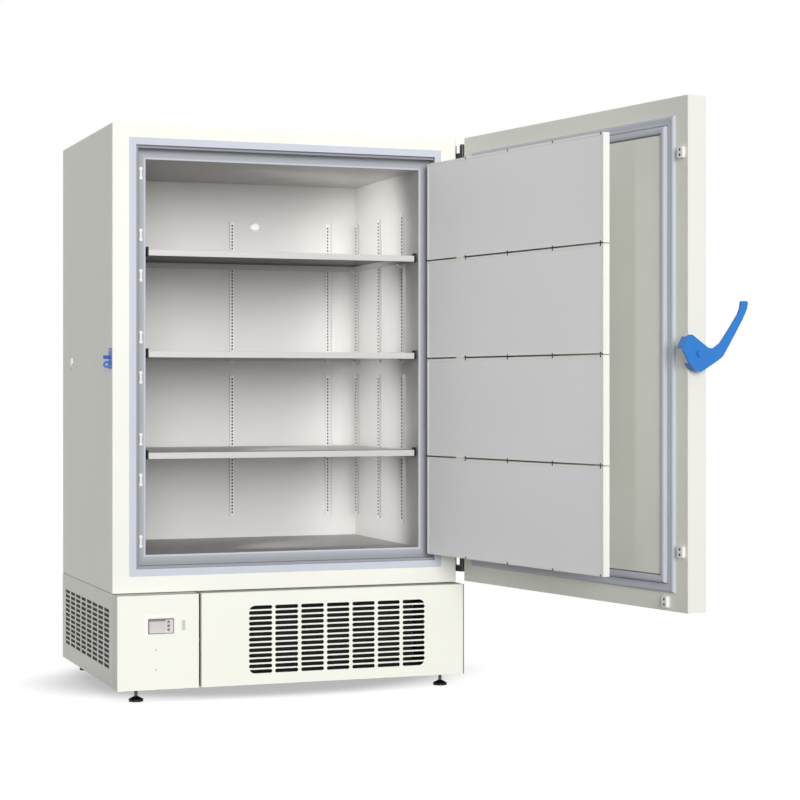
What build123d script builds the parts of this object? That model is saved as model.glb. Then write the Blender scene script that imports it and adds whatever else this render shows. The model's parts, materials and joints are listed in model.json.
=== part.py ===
from build123d import *
import os
from math import cos, hypot, radians, sin

os.makedirs("parts", exist_ok=True)

# Upright ultra low temperature freezer, millimetres, +Z up, +X to the right of someone facing it.
# The doors are modelled standing open; the origin is on the floor, below the middle of the whole.

# Sheet metal and fits
SHEET = 2.0
SEAT_GAP = 0.3
RUNNING_GAP = 0.05

# Upper cabinet
CABINET_WIDTH = 1260.0
CABINET_DEPTH = 871.0
CABINET_HEIGHT = 1602.0
CABINET_EDGE = 6.0

# Chamber, as wall thicknesses of the cabinet
SIDE_WALL = 127.0
FLOOR_WALL = 125.0
CEILING_WALL = 115.0
REAR_WALL = 121.0
LINER_SHEET = 2.0

# Breaker frame: flange, small step, then the ledge that the inner doors close on
FRAME_INSET = 58.5
FRAME_BOTTOM = 56.0
FRAME_TOP = 46.0
FLANGE_WIDTH = 25.0
FLANGE_PROUD = 1.5
BREAKER_WALL = 3.0
STEP_WIDTH = 9.0
STEP_DEPTH = 12.0
LEDGE_DEPTH = 48.0
LEDGE_EDGE = 2.0

# Base with the machine compartment
FOOT_CLEARANCE = 42.0
BASE_PANEL_HEIGHT = 320.0
BASE_CABINET_GAP = 2.0
BASE_PROTRUSION = 77.0
BASE_RETURN = 20.0
BASE_EDGE = 4.0
CONTROL_WIDTH = 284.0
FINGER_GAP = 8.0
PAN_FLOOR = 75.0
PAN_SHEET = 3.0
PAN_SETBACK = 26.0
POST_WIDTH = 40.0
RAIL_WIDTH = 40.0
RAIL_INSET = 60.0

# Front grille
GRILLE_ROWS = 13
GRILLE_PITCH_X = 94.1
GRILLE_PITCH_Z = 18.4
GRILLE_SLOT_LENGTH = 83.3
GRILLE_SLOT_HEIGHT = 13.0
GRILLE_FROM_LEFT = 168.0
GRILLE_FROM_RIGHT = 152.0
GRILLE_CORNER = 22.0
GRILLE_BELOW_CABINET = 167.0

# Side and rear grilles
SIDE_GRILLE_MARGIN = 44.0
SIDE_ROWS = 12
SIDE_PITCH_Y = 97.5
SIDE_PITCH_Z = 17.4
SIDE_SLOT_LENGTH = 86.0
SIDE_SLOT_HEIGHT = 12.0
SIDE_BELOW_CABINET = 160.0
REAR_COLUMNS = 3
REAR_ROWS = 6
SLOT_END = 4.0

# Main door
DOOR_ANGLE = 100.7
DOOR_GAP = 12.0
DOOR_THICKNESS = 74.0
DOOR_BOTTOM = 6.0
DOOR_TOP = 2.0
DOOR_EDGE = 6.0
TRAY_INSET = 114.0
TRAY_RISE = 16.0
TRAY_EDGE = 5.0
GASKET_INSET = 58.0
GASKET_WIDTH = 27.0
BEAD_INSET = 88.0
BEAD_WIDTH = 23.0
BEAD_RISE = 22.0
HINGE_OUT = 18.0
HINGE_FORWARD = 15.5
HINGE_HEIGHT = 50.0
HINGE_ARM = 22.0
HINGE_PIN = 5.0
HINGE_BARREL = 10.0
HINGE_LEAF = 4.0
HINGE_LEAF_LENGTH = 50.0
HINGE_FROM_BOTTOM = 38.0
HINGE_FROM_TOP = 26.0
STOP_WIDTH = 24.0
STOP_HEIGHT = 36.0
STOP_CORNER = 4.0
STOP_INSET = 25.0
STOP_FROM_TOP = 177.0
STOP_FROM_BOTTOM = 194.0
LOW_STOP_INSET = 102.0
LOW_STOP_FROM_BOTTOM = 34.0

# Handle and strike
HANDLE_HEIGHT = 805.0
HANDLE_FROM_INNER_FACE = 17.0
HANDLE_PLATE_DEPTH = 62.0
HANDLE_PLATE_ABOVE = 15.0
HANDLE_PLATE_BELOW = 44.0
HANDLE_PLATE_SHEET = 4.0
HANDLE_STANDOFF = 30.0
HANDLE_BOSS = 14.0
HANDLE_STUD = 6.0
HANDLE_HEAD = 11.0
HANDLE_HEAD_THICKNESS = 4.0
LEVER_THICKNESS = 6.0
LEVER_CORNER = 6.0
LEVER_FLANGE_DEPTH = 26.0
LEVER_FLANGE_SHEET = 5.0
LEVER_OUTLINE = (
    (-28.0, 57.0), (36.0, 17.0), (54.0, 16.0), (81.0, 33.0), (103.0, 59.0), (128.0, 91.0), (151.0, 121.0),
    (161.0, 142.0), (164.0, 164.0), (194.0, 164.0), (189.0, 140.0), (173.0, 110.0), (148.0, 72.0), (114.0, 22.0),
    (92.0, -9.0), (70.0, -23.0), (20.0, -50.0), (3.0, -57.0), (-14.0, -53.0), (-40.0, -29.0), (-66.0, 12.0),
    (-42.0, 57.0),
)
LEVER_FOLDS = ((-2, -1), (-4, -3))
STRIKE_FROM_PIVOT = 50.0
STRIKE_PIN = 6.0
STRIKE_REACH = 27.0
STRIKE_SHEET = 3.0
STRIKE_DEPTH = 44.0
STRIKE_ABOVE_PIN = 31.0
STRIKE_BELOW_PIN = 40.0
EYE_DROP = 25.0
EYE_SHEET = 4.0
EYE_RADIUS = 5.0
EYE_WIDTH = 24.0

# Inner doors
INNER_COUNT = 4
INNER_ANGLE = 100.3
INNER_WIDTH = 1062.0
INNER_THICKNESS = 24.0
INNER_HINGE_INSET = 96.4
INNER_BOTTOM = 104.0
INNER_TOP = 96.0
INNER_SPACING = 3.0
INNER_CLOSED_GAP = 6.0
TRIM_WIDTH = 8.0
TRIM_WALL = 1.0
TRIM_EDGE = 4.0
ROD_OUT = 8.0
ROD_BEHIND_FACE = 0.5
ROD_RADIUS = 2.2
KNUCKLE_RADIUS = 4.2
KNUCKLE_LENGTH = 36.0
KNUCKLE_FROM_END = 40.0
LUG_LENGTH = 18.0
LUG_WIDTH = 7.0
CATCH_FROM_END = 68.0
CATCH_LENGTH = 44.0
CATCH_HEAD = 6.0
CATCH_WAIST = 3.5
CATCH_RISE = 5.0
CATCH_FROM_OPENING = 18.0

# Shelves and their standards
SHELF_ABOVE_SEAM = 21.0
SHELF_LIP = 22.0
SHELF_SHEET = 2.0
SHELF_FRONT_GAP = 10.0
SHELF_SIDE_GAP = 3.0
PILASTER_WIDTH = 16.0
PILASTER_DEPTH = 10.0
PILASTER_SHEET = 2.0
PILASTER_BOTTOM = 82.0
PILASTER_TOP = 147.0
PILASTER_BREAK = 47.0
PILASTER_FROM_SIDE = 116.0
PILASTER_FROM_LEDGE = 146.0
PILASTER_FROM_BACK = 43.0
CLIP_WIDTH = 14.0
CLIP_HEIGHT = 16.0
CLIP_REACH = 20.0

# Access port caps
CAP_RADIUS = 15.0
CAP_RISE = 5.0
CAP_EDGE = 2.0
BACK_CAP_FROM_MIDDLE = 94.0
BACK_CAP_FROM_TOP = 279.0
SIDE_CAP_FROM_BACK = 177.0
SIDE_CAP_HEIGHT = 797.0

# Control panel
BEZEL_X = 150.6
BEZEL_BELOW_CABINET = 107.6
BEZEL_WIDTH = 104.0
BEZEL_HEIGHT = 66.0
BEZEL_PROUD = 3.0
BEZEL_CORNER = 5.0
BEZEL_FLANGE = 5.0
BEZEL_BODY = 18.0
BEZEL_POCKET = 9.0
BEZEL_WALL = 2.0
SCREEN_WIDTH = 59.0
SCREEN_HEIGHT = 47.0
SCREEN_THICKNESS = 2.0
SCREEN_SUNK = 0.5
SCREEN_OFFSET = 12.0
BUTTON_COUNT = 3
BUTTON_OFFSET = 28.0
BUTTON_PITCH = 13.5
BUTTON_RADIUS = 4.0
BUTTON_PROUD = 1.6

# Condenser, fan and compressors
CONDENSER_INSET = 20.0
CONDENSER_HEIGHT = 236.0
CONDENSER_DEPTH = 60.0
CONDENSER_FROM_FRONT = 10.0
CONDENSER_PLATE = 3.0
CONDENSER_BENDS = 6
CONDENSER_TUBE = 6.0
FIN_DEPTH = 4.0
FIN_PITCH = 38.0
FIN_WIDTH = 20.0
FILTER_THICKNESS = 10.0
FILTER_BORDER = 14.0
FILTER_RIB = 6.0
SHROUD_SHEET = 4.0
SHROUD_RING_WALL = 4.0
FAN_RADIUS = 100.0
FAN_TIP_GAP = 7.0
FAN_SIDE_GAP = 4.0
FAN_BLADES = 5
FAN_BLADE_PITCH = 28.0
FAN_BLADE_ROOT = 36.0
FAN_BLADE_TIP = 52.0
FAN_BLADE_SHEET = 2.5
FAN_HUB = 32.0
FAN_HUB_LENGTH = 22.0
FAN_SHAFT = 4.0
MOTOR_RADIUS = 45.0
MOTOR_LENGTH = 72.0
MOTOR_ARM_WIDTH = 16.0
MOTOR_ARM_SHEET = 5.0
COMPRESSOR_RADIUS = 100.0
COMPRESSOR_HEIGHT = 210.0
COMPRESSOR_DOME = 46.0
COMPRESSOR_PLATE = 6.0
COMPRESSOR_PLATE_WIDTH = 236.0
COMPRESSOR_GROMMET = 12.0
COMPRESSOR_GROMMET_RADIUS = 14.0
COMPRESSOR_FROM_BACK = 311.0
COMPRESSOR_FROM_SIDE = 300.0
BOX_WIDTH = 200.0
BOX_DEPTH = 140.0
BOX_HEIGHT = 210.0
BOX_INSET = 34.0
BOX_FROM_FRONT = 262.0
BOX_EDGE = 5.0
INLET_WIDTH = 50.0
INLET_HEIGHT = 32.0
INLET_PROUD = 5.0
INLET_BODY = 24.0
INLET_FROM_RIGHT = 160.0
INLET_HEIGHT_ABOVE_FLOOR = 130.0

# Feet and casters
FOOT_INSET_X = 75.0
FOOT_FROM_FRONT = 47.0
FOOT_FROM_BACK = 75.0
FOOT_RADIUS = 25.0
FOOT_PAD = 8.0
FOOT_CONE = 9.0
FOOT_STUD = 6.0
FOOT_NUT = 11.0
FOOT_NUT_HEIGHT = 9.0
FOOT_STUD_ABOVE_PAN = 14.0
CASTER_INSET_X = 207.0
CASTER_FROM_FRONT = 237.0
CASTER_FROM_BACK = 170.0
WHEEL_RADIUS = 25.0
WHEEL_WIDTH = 20.0
WHEEL_LIFT = 3.0
WHEEL_EDGE = 3.0
AXLE_RADIUS = 4.0
CASTER_TRAIL = 18.0
FORK_SHEET = 3.0
FORK_SIDE_GAP = 1.5
FORK_CHEEK = 14.0
SWIVEL_STUD = 8.0
SWIVEL_STUD_ABOVE_PAN = 8.0

# Grille door hinge
GRILLE_PIVOT_INSET = 10.0
GRILLE_PIN = 4.0
GRILLE_LUG = 7.0
GRILLE_LUG_SHEET = 4.0
GRILLE_LUG_TOP_DROP = 30.0
GRILLE_NOTCH = 3.0

# Places on the closed machine, from its front left corner at the floor
deck_z = FOOT_CLEARANCE + BASE_PANEL_HEIGHT + BASE_CABINET_GAP
top_z = deck_z + CABINET_HEIGHT
handle_z = deck_z + HANDLE_HEIGHT
lever_face = HANDLE_STANDOFF + SEAT_GAP
stud_end = lever_face + LEVER_THICKNESS + SEAT_GAP + HANDLE_HEAD_THICKNESS
pivot_depth = -DOOR_GAP - HANDLE_FROM_INNER_FACE


def swung_extent(x, y):
    """Where a point of the closed main door stands when the door is open, from the front left corner."""
    turn = radians(DOOR_ANGLE)
    arm_x = x - CABINET_WIDTH - HINGE_OUT
    arm_y = y + HINGE_FORWARD
    open_x = CABINET_WIDTH + HINGE_OUT + arm_x * cos(turn) - arm_y * sin(turn)
    open_y = -HINGE_FORWARD + arm_x * sin(turn) + arm_y * cos(turn)
    return open_x, open_y


# The whole machine with its doors open is centred on the origin
lever_tip = max(reach for reach, rise in LEVER_OUTLINE)
lever_heel = -min(reach for reach, rise in LEVER_OUTLINE)
right_extent = swung_extent(-lever_face, pivot_depth - lever_tip)[0]
front_extent = swung_extent(-stud_end, pivot_depth + HANDLE_HEAD)[1]
left_x = (STRIKE_REACH - right_extent) / 2
front_y = -(CABINET_DEPTH + INLET_PROUD + front_extent) / 2
right_x = left_x + CABINET_WIDTH
mid_x = left_x + CABINET_WIDTH / 2
back_y = front_y + CABINET_DEPTH
mid_y = front_y + CABINET_DEPTH / 2

# Chamber
chamber_left = left_x + SIDE_WALL
chamber_right = right_x - SIDE_WALL
chamber_floor = deck_z + FLOOR_WALL
chamber_ceiling = top_z - CEILING_WALL
chamber_back = back_y - REAR_WALL
ledge_y = front_y + LEDGE_DEPTH

# Main door
hinge_x = right_x + HINGE_OUT
hinge_y = front_y - HINGE_FORWARD
door_low = deck_z + DOOR_BOTTOM
door_high = top_z - DOOR_TOP
door_back = front_y - DOOR_GAP
door_front = door_back - DOOR_THICKNESS
panel_back = door_back - SHEET
gasket_rise = DOOR_GAP - FLANGE_PROUD - SEAT_GAP
door_swing = Location((hinge_x, hinge_y, 0), (0, 0, DOOR_ANGLE)) * Location((-hinge_x, -hinge_y, 0))
pivot_y = front_y + pivot_depth

# Inner doors
inner_back = ledge_y - INNER_CLOSED_GAP
inner_front = inner_back - INNER_THICKNESS
inner_edge = right_x - INNER_HINGE_INSET
inner_free = inner_edge - INNER_WIDTH
rod_x = inner_edge + ROD_OUT
rod_y = inner_front + ROD_BEHIND_FACE
inner_low = deck_z + INNER_BOTTOM
inner_high = top_z - INNER_TOP
inner_pitch = (inner_high - inner_low + INNER_SPACING) / INNER_COUNT
inner_height = inner_pitch - INNER_SPACING
inner_swing = Location((rod_x, rod_y, 0), (0, 0, INNER_ANGLE)) * Location((-rod_x, -rod_y, 0))

# Base
base_front = front_y - BASE_PROTRUSION
panel_low = FOOT_CLEARANCE
panel_high = FOOT_CLEARANCE + BASE_PANEL_HEIGHT
pan_top = PAN_FLOOR + PAN_SHEET
pan_front = base_front + PAN_SETBACK
grille_left = left_x + CONTROL_WIDTH + FINGER_GAP
grille_pivot_x = right_x - GRILLE_PIVOT_INSET
grille_pivot_y = base_front + GRILLE_PIVOT_INSET
deck_low = panel_high - PAN_SHEET


def still(plane):
    """A plane of the cabinet."""
    return plane


def opened(plane):
    """A plane of the closed main door, swung open with it."""
    return Plane(door_swing * plane.location)


def inner_opened(plane):
    """A plane of the closed inner doors, swung open with them."""
    return Plane(inner_swing * plane.location)


def elevation(x_range, z_range, y_from, y_to, place=still, mode=Mode.ADD, radius=0.0):
    """A rectangle drawn on the front elevation and extruded from one depth to another."""
    with BuildSketch(place(Plane.XZ.offset(-y_from))) as outline:
        with Locations((sum(x_range) / 2, sum(z_range) / 2)):
            if radius > 0:
                RectangleRounded(x_range[1] - x_range[0], z_range[1] - z_range[0], radius)
            else:
                Rectangle(x_range[1] - x_range[0], z_range[1] - z_range[0])
    extrude(outline.sketch, amount=y_from - y_to, mode=mode)


def plan(x_range, y_range, z_from, z_to, place=still, mode=Mode.ADD):
    """A rectangle drawn on the plan and extruded from one height to another."""
    with BuildSketch(place(Plane.XY.offset(z_from))) as outline:
        with Locations((sum(x_range) / 2, sum(y_range) / 2)):
            Rectangle(x_range[1] - x_range[0], y_range[1] - y_range[0])
    extrude(outline.sketch, amount=z_to - z_from, mode=mode)


def column(x, y, radius, z_from, z_to, place=still, mode=Mode.ADD):
    """A vertical round bar or hole."""
    with BuildSketch(place(Plane.XY.offset(z_from))) as outline:
        with Locations((x, y)):
            Circle(radius)
    extrude(outline.sketch, amount=z_to - z_from, mode=mode)


def window(inset, low, high, grow=0.0):
    """X and Z ranges of a rectangle set in from the cabinet's sides, lower and upper edges."""
    x_range = (left_x + inset - grow, right_x - inset + grow)
    z_range = (deck_z + low - grow, top_z - high + grow)
    return x_range, z_range


def door_window(inset, grow=0.0):
    """X and Z ranges of a rectangle set in from the main door's edges."""
    x_range = (left_x + inset - grow, right_x - inset + grow)
    z_range = (door_low + inset - grow, door_high - inset + grow)
    return x_range, z_range


def save(piece, name):
    """Label a finished piece and write it as its own file."""
    piece.label = name
    export_step(piece, f"parts/{name}.step")


# Rectangles of the breaker frame, from the front flange to the chamber opening
frame_window = window(FRAME_INSET, FRAME_BOTTOM, FRAME_TOP)
recess_inset = FRAME_INSET + FLANGE_WIDTH
recess_window = window(recess_inset, FRAME_BOTTOM + FLANGE_WIDTH, FRAME_TOP + FLANGE_WIDTH)
step_window = (
    (recess_window[0][0] + STEP_WIDTH, recess_window[0][1]),
    (recess_window[1][0] + STEP_WIDTH, recess_window[1][1] - STEP_WIDTH),
)
chamber_window = window(SIDE_WALL, FLOOR_WALL, CEILING_WALL)
liner_window = window(SIDE_WALL, FLOOR_WALL, CEILING_WALL, LINER_SHEET)


def grown(rectangle, amount):
    """A rectangle's X and Z ranges, grown by one amount on every side."""
    return tuple((low - amount, high + amount) for low, high in rectangle)


breaker_outside = (
    (frame_window, front_y + BREAKER_WALL - FLANGE_PROUD),
    (grown(recess_window, BREAKER_WALL), front_y + STEP_DEPTH + BREAKER_WALL),
    (grown(step_window, BREAKER_WALL), ledge_y + BREAKER_WALL),
)
breaker_inside = (
    (recess_window, front_y + STEP_DEPTH),
    (step_window, ledge_y),
    (chamber_window, ledge_y + BREAKER_WALL),
)

# Cabinet wrapper with its front flange
with BuildPart() as outer_shell:
    with BuildSketch(Plane.XY.offset(deck_z)):
        with Locations((mid_x, mid_y)):
            RectangleRounded(CABINET_WIDTH, CABINET_DEPTH, CABINET_EDGE)
    extrude(amount=CABINET_HEIGHT)
    with BuildSketch(Plane.XY.offset(deck_z + SHEET)):
        with Locations((mid_x, mid_y)):
            RectangleRounded(CABINET_WIDTH - 2 * SHEET, CABINET_DEPTH - 2 * SHEET, CABINET_EDGE - SHEET)
    extrude(amount=CABINET_HEIGHT - 2 * SHEET, mode=Mode.SUBTRACT)
    elevation(*frame_window, front_y, front_y + SHEET, mode=Mode.SUBTRACT)
save(outer_shell.part, "outer_shell")

# Foam between the wrapper, the breaker frame and the liner
with BuildPart() as insulation:
    with BuildSketch(Plane.XY.offset(deck_z + SHEET)):
        with Locations((mid_x, mid_y)):
            RectangleRounded(CABINET_WIDTH - 2 * SHEET, CABINET_DEPTH - 2 * SHEET, CABINET_EDGE - SHEET)
    extrude(amount=CABINET_HEIGHT - 2 * SHEET)
    for rectangle, depth in breaker_outside:
        elevation(*rectangle, front_y, depth, mode=Mode.SUBTRACT)
    elevation(*liner_window, front_y, chamber_back + LINER_SHEET, mode=Mode.SUBTRACT)
save(insulation.part, "insulation")

# Stainless chamber, open at the front
with BuildPart() as liner:
    elevation(*liner_window, ledge_y + BREAKER_WALL, chamber_back + LINER_SHEET)
    elevation(*chamber_window, ledge_y + BREAKER_WALL, chamber_back, mode=Mode.SUBTRACT)
save(liner.part, "liner")

# Plastic frame between the wrapper and the liner
with BuildPart() as breaker_frame:
    for rectangle, depth in breaker_outside:
        elevation(*rectangle, front_y - FLANGE_PROUD, depth)
    for rectangle, depth in breaker_inside:
        elevation(*rectangle, front_y - FLANGE_PROUD, depth, mode=Mode.SUBTRACT)
    flange_face = breaker_frame.faces().sort_by(Axis.Y)[0]
    fillet(flange_face.inner_wires()[0].edges(), FLANGE_PROUD)
    ledge_face = breaker_frame.faces().filter_by(Axis.Y).filter_by_position(Axis.Y, ledge_y, ledge_y)
    ledge_front = ledge_face.sort_by(SortBy.AREA)[-1]
    fillet(ledge_front.inner_wires()[0].edges(), LEDGE_EDGE)
save(breaker_frame.part, "breaker_frame")

# Slotted standards: open channels with their backs on the liner
strip_bottom = chamber_floor + PILASTER_BOTTOM
strip_length = (chamber_ceiling - PILASTER_TOP - strip_bottom - PILASTER_BREAK) / 2
strip_low = [strip_bottom, strip_bottom + strip_length + PILASTER_BREAK]
back_strip_x = [chamber_left + PILASTER_FROM_SIDE, mid_x, chamber_right - PILASTER_FROM_SIDE]
side_strip_ends = (ledge_y + PILASTER_FROM_LEDGE, chamber_back - PILASTER_FROM_BACK)
side_strip_y = [side_strip_ends[0], sum(side_strip_ends) / 2, side_strip_ends[1]]


def channel_profile(x, y, turn):
    """Section of a standard whose open back stands on the wall at a point, facing away from it."""
    with BuildSketch(Plane((x, y, 0), x_dir=Vector(1, 0, 0).rotate(Axis.Z, turn))) as profile:
        with Locations((0, -PILASTER_DEPTH / 2)):
            Rectangle(PILASTER_WIDTH, PILASTER_DEPTH)
        with Locations((0, -(PILASTER_DEPTH - PILASTER_SHEET) / 2)):
            Rectangle(PILASTER_WIDTH - 2 * PILASTER_SHEET, PILASTER_DEPTH - PILASTER_SHEET, mode=Mode.SUBTRACT)
    return profile.sketch


with BuildPart() as pilasters:
    for low in strip_low:
        for strip_x in back_strip_x:
            section = channel_profile(strip_x, chamber_back, 0)
            extrude(section.moved(Location((0, 0, low))), amount=strip_length)
        for strip_y in side_strip_y:
            for wall_x, turn in ((chamber_left, 90), (chamber_right, -90)):
                section = channel_profile(wall_x, strip_y, turn)
                extrude(section.moved(Location((0, 0, low))), amount=strip_length)
save(pilasters.part, "pilasters")

# Shelves: trays turned down on all four sides, resting on clips
shelf_tops = [inner_low + inner_pitch * index + SHELF_ABOVE_SEAM for index in range(1, INNER_COUNT)]
shelf_front = ledge_y + SHELF_FRONT_GAP
shelf_back = chamber_back - PILASTER_DEPTH - SHELF_SIDE_GAP
shelf_left = chamber_left + PILASTER_DEPTH + SHELF_SIDE_GAP
shelf_right = chamber_right - PILASTER_DEPTH - SHELF_SIDE_GAP

for index, shelf_top in enumerate(reversed(shelf_tops)):
    with BuildPart() as shelf:
        plan((shelf_left, shelf_right), (shelf_front, shelf_back), shelf_top - SHELF_LIP, shelf_top)
        underside = shelf.faces().sort_by(Axis.Z)[0]
        offset(amount=-SHELF_SHEET, openings=underside, kind=Kind.INTERSECTION)
    save(shelf.part, f"shelf_{index + 1}")

with BuildPart() as shelf_clips:
    for shelf_top in shelf_tops:
        clip_top = shelf_top - SHELF_LIP
        for strip_y in (side_strip_y[0], side_strip_y[-1]):
            for wall_x, side in ((chamber_left, 1), (chamber_right, -1)):
                face_x = wall_x + side * PILASTER_DEPTH
                tip_x = face_x + side * CLIP_REACH
                with BuildSketch(Plane.XZ.offset(-(strip_y - CLIP_WIDTH / 2))) as clip_side:
                    with BuildLine():
                        Polyline((face_x, clip_top), (tip_x, clip_top), (face_x, clip_top - CLIP_HEIGHT), close=True)
                    make_face()
                extrude(amount=-CLIP_WIDTH)
save(shelf_clips.part, "shelf_clips")

# Round caps over the access ports
with BuildPart() as port_caps:
    with BuildSketch(Plane.XZ.offset(-chamber_back)):
        with Locations((mid_x + BACK_CAP_FROM_MIDDLE, top_z - BACK_CAP_FROM_TOP)):
            Circle(CAP_RADIUS)
    extrude(amount=CAP_RISE)
    with BuildSketch(Plane.YZ.offset(left_x)):
        with Locations((back_y - SIDE_CAP_FROM_BACK, deck_z + SIDE_CAP_HEIGHT)):
            Circle(CAP_RADIUS)
    extrude(amount=-CAP_RISE)
    chamfer(port_caps.faces().filter_by(Axis.Y).sort_by(Axis.Y)[0].edges(), CAP_EDGE)
    chamfer(port_caps.faces().filter_by(Axis.X).sort_by(Axis.X)[0].edges(), CAP_EDGE)
save(port_caps.part, "port_caps")

# Catches on the ledge, two for each inner door
catch_x = chamber_left - CATCH_FROM_OPENING
catch_heights = []
for index in range(INNER_COUNT):
    low = inner_low + index * inner_pitch
    catch_heights += [low + CATCH_FROM_END, low + inner_height - CATCH_FROM_END]

with BuildPart() as inner_door_catches:
    for height in catch_heights:
        with BuildSketch(Plane.XZ.offset(-ledge_y)) as catch_face:
            with Locations((catch_x, height)):
                Rectangle(2 * CATCH_WAIST, CATCH_LENGTH - 2 * CATCH_HEAD)
            head_step = CATCH_LENGTH / 2 - CATCH_HEAD
            with Locations((catch_x, height - head_step), (catch_x, height + head_step)):
                RegularPolygon(CATCH_HEAD, 8, major_radius=False)
        extrude(amount=CATCH_RISE)
save(inner_door_catches.part, "inner_door_catches")

# Rod of the inner doors and the lugs that hold it to the breaker frame
inner_lows = [inner_low + index * inner_pitch for index in range(INNER_COUNT)]
knuckle_starts = [KNUCKLE_FROM_END, inner_height - KNUCKLE_FROM_END - KNUCKLE_LENGTH]

with BuildPart() as inner_hinge_rod:
    column(rod_x, rod_y, ROD_RADIUS, inner_low, inner_high)
save(inner_hinge_rod.part, "inner_hinge_rod")

with BuildPart() as inner_hinge_brackets:
    for low in inner_lows:
        for start in knuckle_starts:
            lug_high = low + start - SEAT_GAP
            column(rod_x, rod_y, KNUCKLE_RADIUS, lug_high - LUG_LENGTH, lug_high)
            web_y = (rod_y - LUG_WIDTH / 2, rod_y + LUG_WIDTH / 2)
            plan((rod_x, step_window[0][1]), web_y, lug_high - LUG_LENGTH, lug_high)
    column(rod_x, rod_y, ROD_RADIUS + RUNNING_GAP, inner_low, inner_high, mode=Mode.SUBTRACT)
save(inner_hinge_brackets.part, "inner_hinge_brackets")

# Inner doors: insulated slabs edged with a channel that carries the hinge knuckles
for index, low in enumerate(reversed(inner_lows)):
    edge_x = (inner_free, inner_edge)
    edge_z = (low, low + inner_height)
    slab_x = (inner_free + TRIM_EDGE, inner_edge - TRIM_EDGE)
    slab_z = (low + TRIM_EDGE, low + inner_height - TRIM_EDGE)
    sight_x = (inner_free + TRIM_WIDTH, inner_edge - TRIM_WIDTH)
    sight_z = (low + TRIM_WIDTH, low + inner_height - TRIM_WIDTH)
    slab_y = (inner_front + TRIM_WALL, inner_back - TRIM_WALL)
    with BuildPart() as inner_door:
        elevation(slab_x, slab_z, *slab_y, place=inner_opened)
    save(inner_door.part, f"inner_door_{index + 1}")

    with BuildPart() as inner_door_trim:
        elevation(edge_x, edge_z, inner_front, inner_back, place=inner_opened)
        elevation(slab_x, slab_z, *slab_y, place=inner_opened, mode=Mode.SUBTRACT)
        elevation(sight_x, sight_z, inner_front, inner_back, place=inner_opened, mode=Mode.SUBTRACT)
        for start in knuckle_starts:
            knuckle_z = (low + start, low + start + KNUCKLE_LENGTH)
            column(rod_x, rod_y, KNUCKLE_RADIUS, *knuckle_z, place=inner_opened)
            leaf_y = (inner_front, inner_front + ROD_BEHIND_FACE + ROD_RADIUS)
            plan((inner_edge, rod_x), leaf_y, *knuckle_z, place=inner_opened)
        bore = ROD_RADIUS + RUNNING_GAP
        column(rod_x, rod_y, bore, low, low + inner_height, place=inner_opened, mode=Mode.SUBTRACT)
    save(inner_door_trim.part, f"inner_door_trim_{index + 1}")

# Main hinges: cabinet halves with their pins, then the door halves
cabinet_leaf_y = (front_y + CABINET_EDGE, front_y + CABINET_EDGE + HINGE_LEAF_LENGTH)
door_leaf_y = (door_back - CABINET_EDGE - HINGE_LEAF_LENGTH, door_back - CABINET_EDGE)


def hinge_arm(leaf_y, near_y, z_from, z_to, place):
    """A hinge arm: a leaf on the side of the cabinet or door, tapering to a round eye at the pin."""
    far_y = leaf_y[0] if near_y == leaf_y[1] else leaf_y[1]
    with BuildSketch(place(Plane.XY.offset(z_from))) as arm:
        with BuildLine():
            Polyline(
                (right_x, far_y), (right_x, near_y), (hinge_x - HINGE_BARREL, hinge_y),
                (hinge_x + HINGE_BARREL, hinge_y), (right_x + HINGE_LEAF, far_y), close=True,
            )
        make_face()
        with Locations((hinge_x, hinge_y)):
            Circle(HINGE_BARREL)
    extrude(arm.sketch, amount=z_to - z_from)


hinge_lows = (deck_z + HINGE_FROM_BOTTOM, top_z - HINGE_FROM_TOP - HINGE_HEIGHT)

with BuildPart() as hinge_brackets:
    for low in hinge_lows:
        hinge_arm(cabinet_leaf_y, cabinet_leaf_y[0], low, low + HINGE_ARM, still)
        plan((right_x, right_x + HINGE_LEAF), cabinet_leaf_y, low, low + HINGE_HEIGHT)
        column(hinge_x, hinge_y, HINGE_PIN, low, low + HINGE_HEIGHT)
save(hinge_brackets.part, "hinge_brackets")

with BuildPart() as door_hinge_arms:
    for leaf_low in hinge_lows:
        low = leaf_low + HINGE_ARM + SEAT_GAP
        high = leaf_low + HINGE_HEIGHT - SEAT_GAP
        hinge_arm(door_leaf_y, door_leaf_y[1], low, high, opened)
        plan((right_x, right_x + HINGE_LEAF), door_leaf_y, leaf_low, high, place=opened)
        column(hinge_x, hinge_y, HINGE_PIN + RUNNING_GAP, low, high, place=opened, mode=Mode.SUBTRACT)
save(door_hinge_arms.part, "door_hinge_arms")

# Main door: steel pan, foam, inner panel with a raised tray, two-step gasket


def door_core(place):
    """Foam space of the main door behind its front sheet, with softened front edges."""
    core_depth = DOOR_THICKNESS - 2 * SHEET
    with BuildSketch(place(Plane.XY.offset(door_low + SHEET))) as core:
        with Locations((mid_x, panel_back - core_depth / 2)):
            Rectangle(CABINET_WIDTH - 2 * SHEET, core_depth)
        fillet(core.vertices().group_by(Axis.Y)[0], DOOR_EDGE - SHEET)
    return core.sketch


core_height = door_high - door_low - 2 * SHEET

with BuildPart() as door_outer_panel:
    with BuildSketch(opened(Plane.XY.offset(door_low))) as door_plan:
        with Locations((mid_x, (door_front + panel_back) / 2)):
            Rectangle(CABINET_WIDTH, panel_back - door_front)
        fillet(door_plan.vertices().group_by(Axis.Y)[0], DOOR_EDGE)
    extrude(amount=door_high - door_low)
    extrude(door_core(opened), amount=core_height, mode=Mode.SUBTRACT)
save(door_outer_panel.part, "door_outer_panel")

tray_top = door_back + TRAY_RISE
tray_window = door_window(TRAY_INSET)
tray_core = door_window(TRAY_INSET + SHEET)

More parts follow.
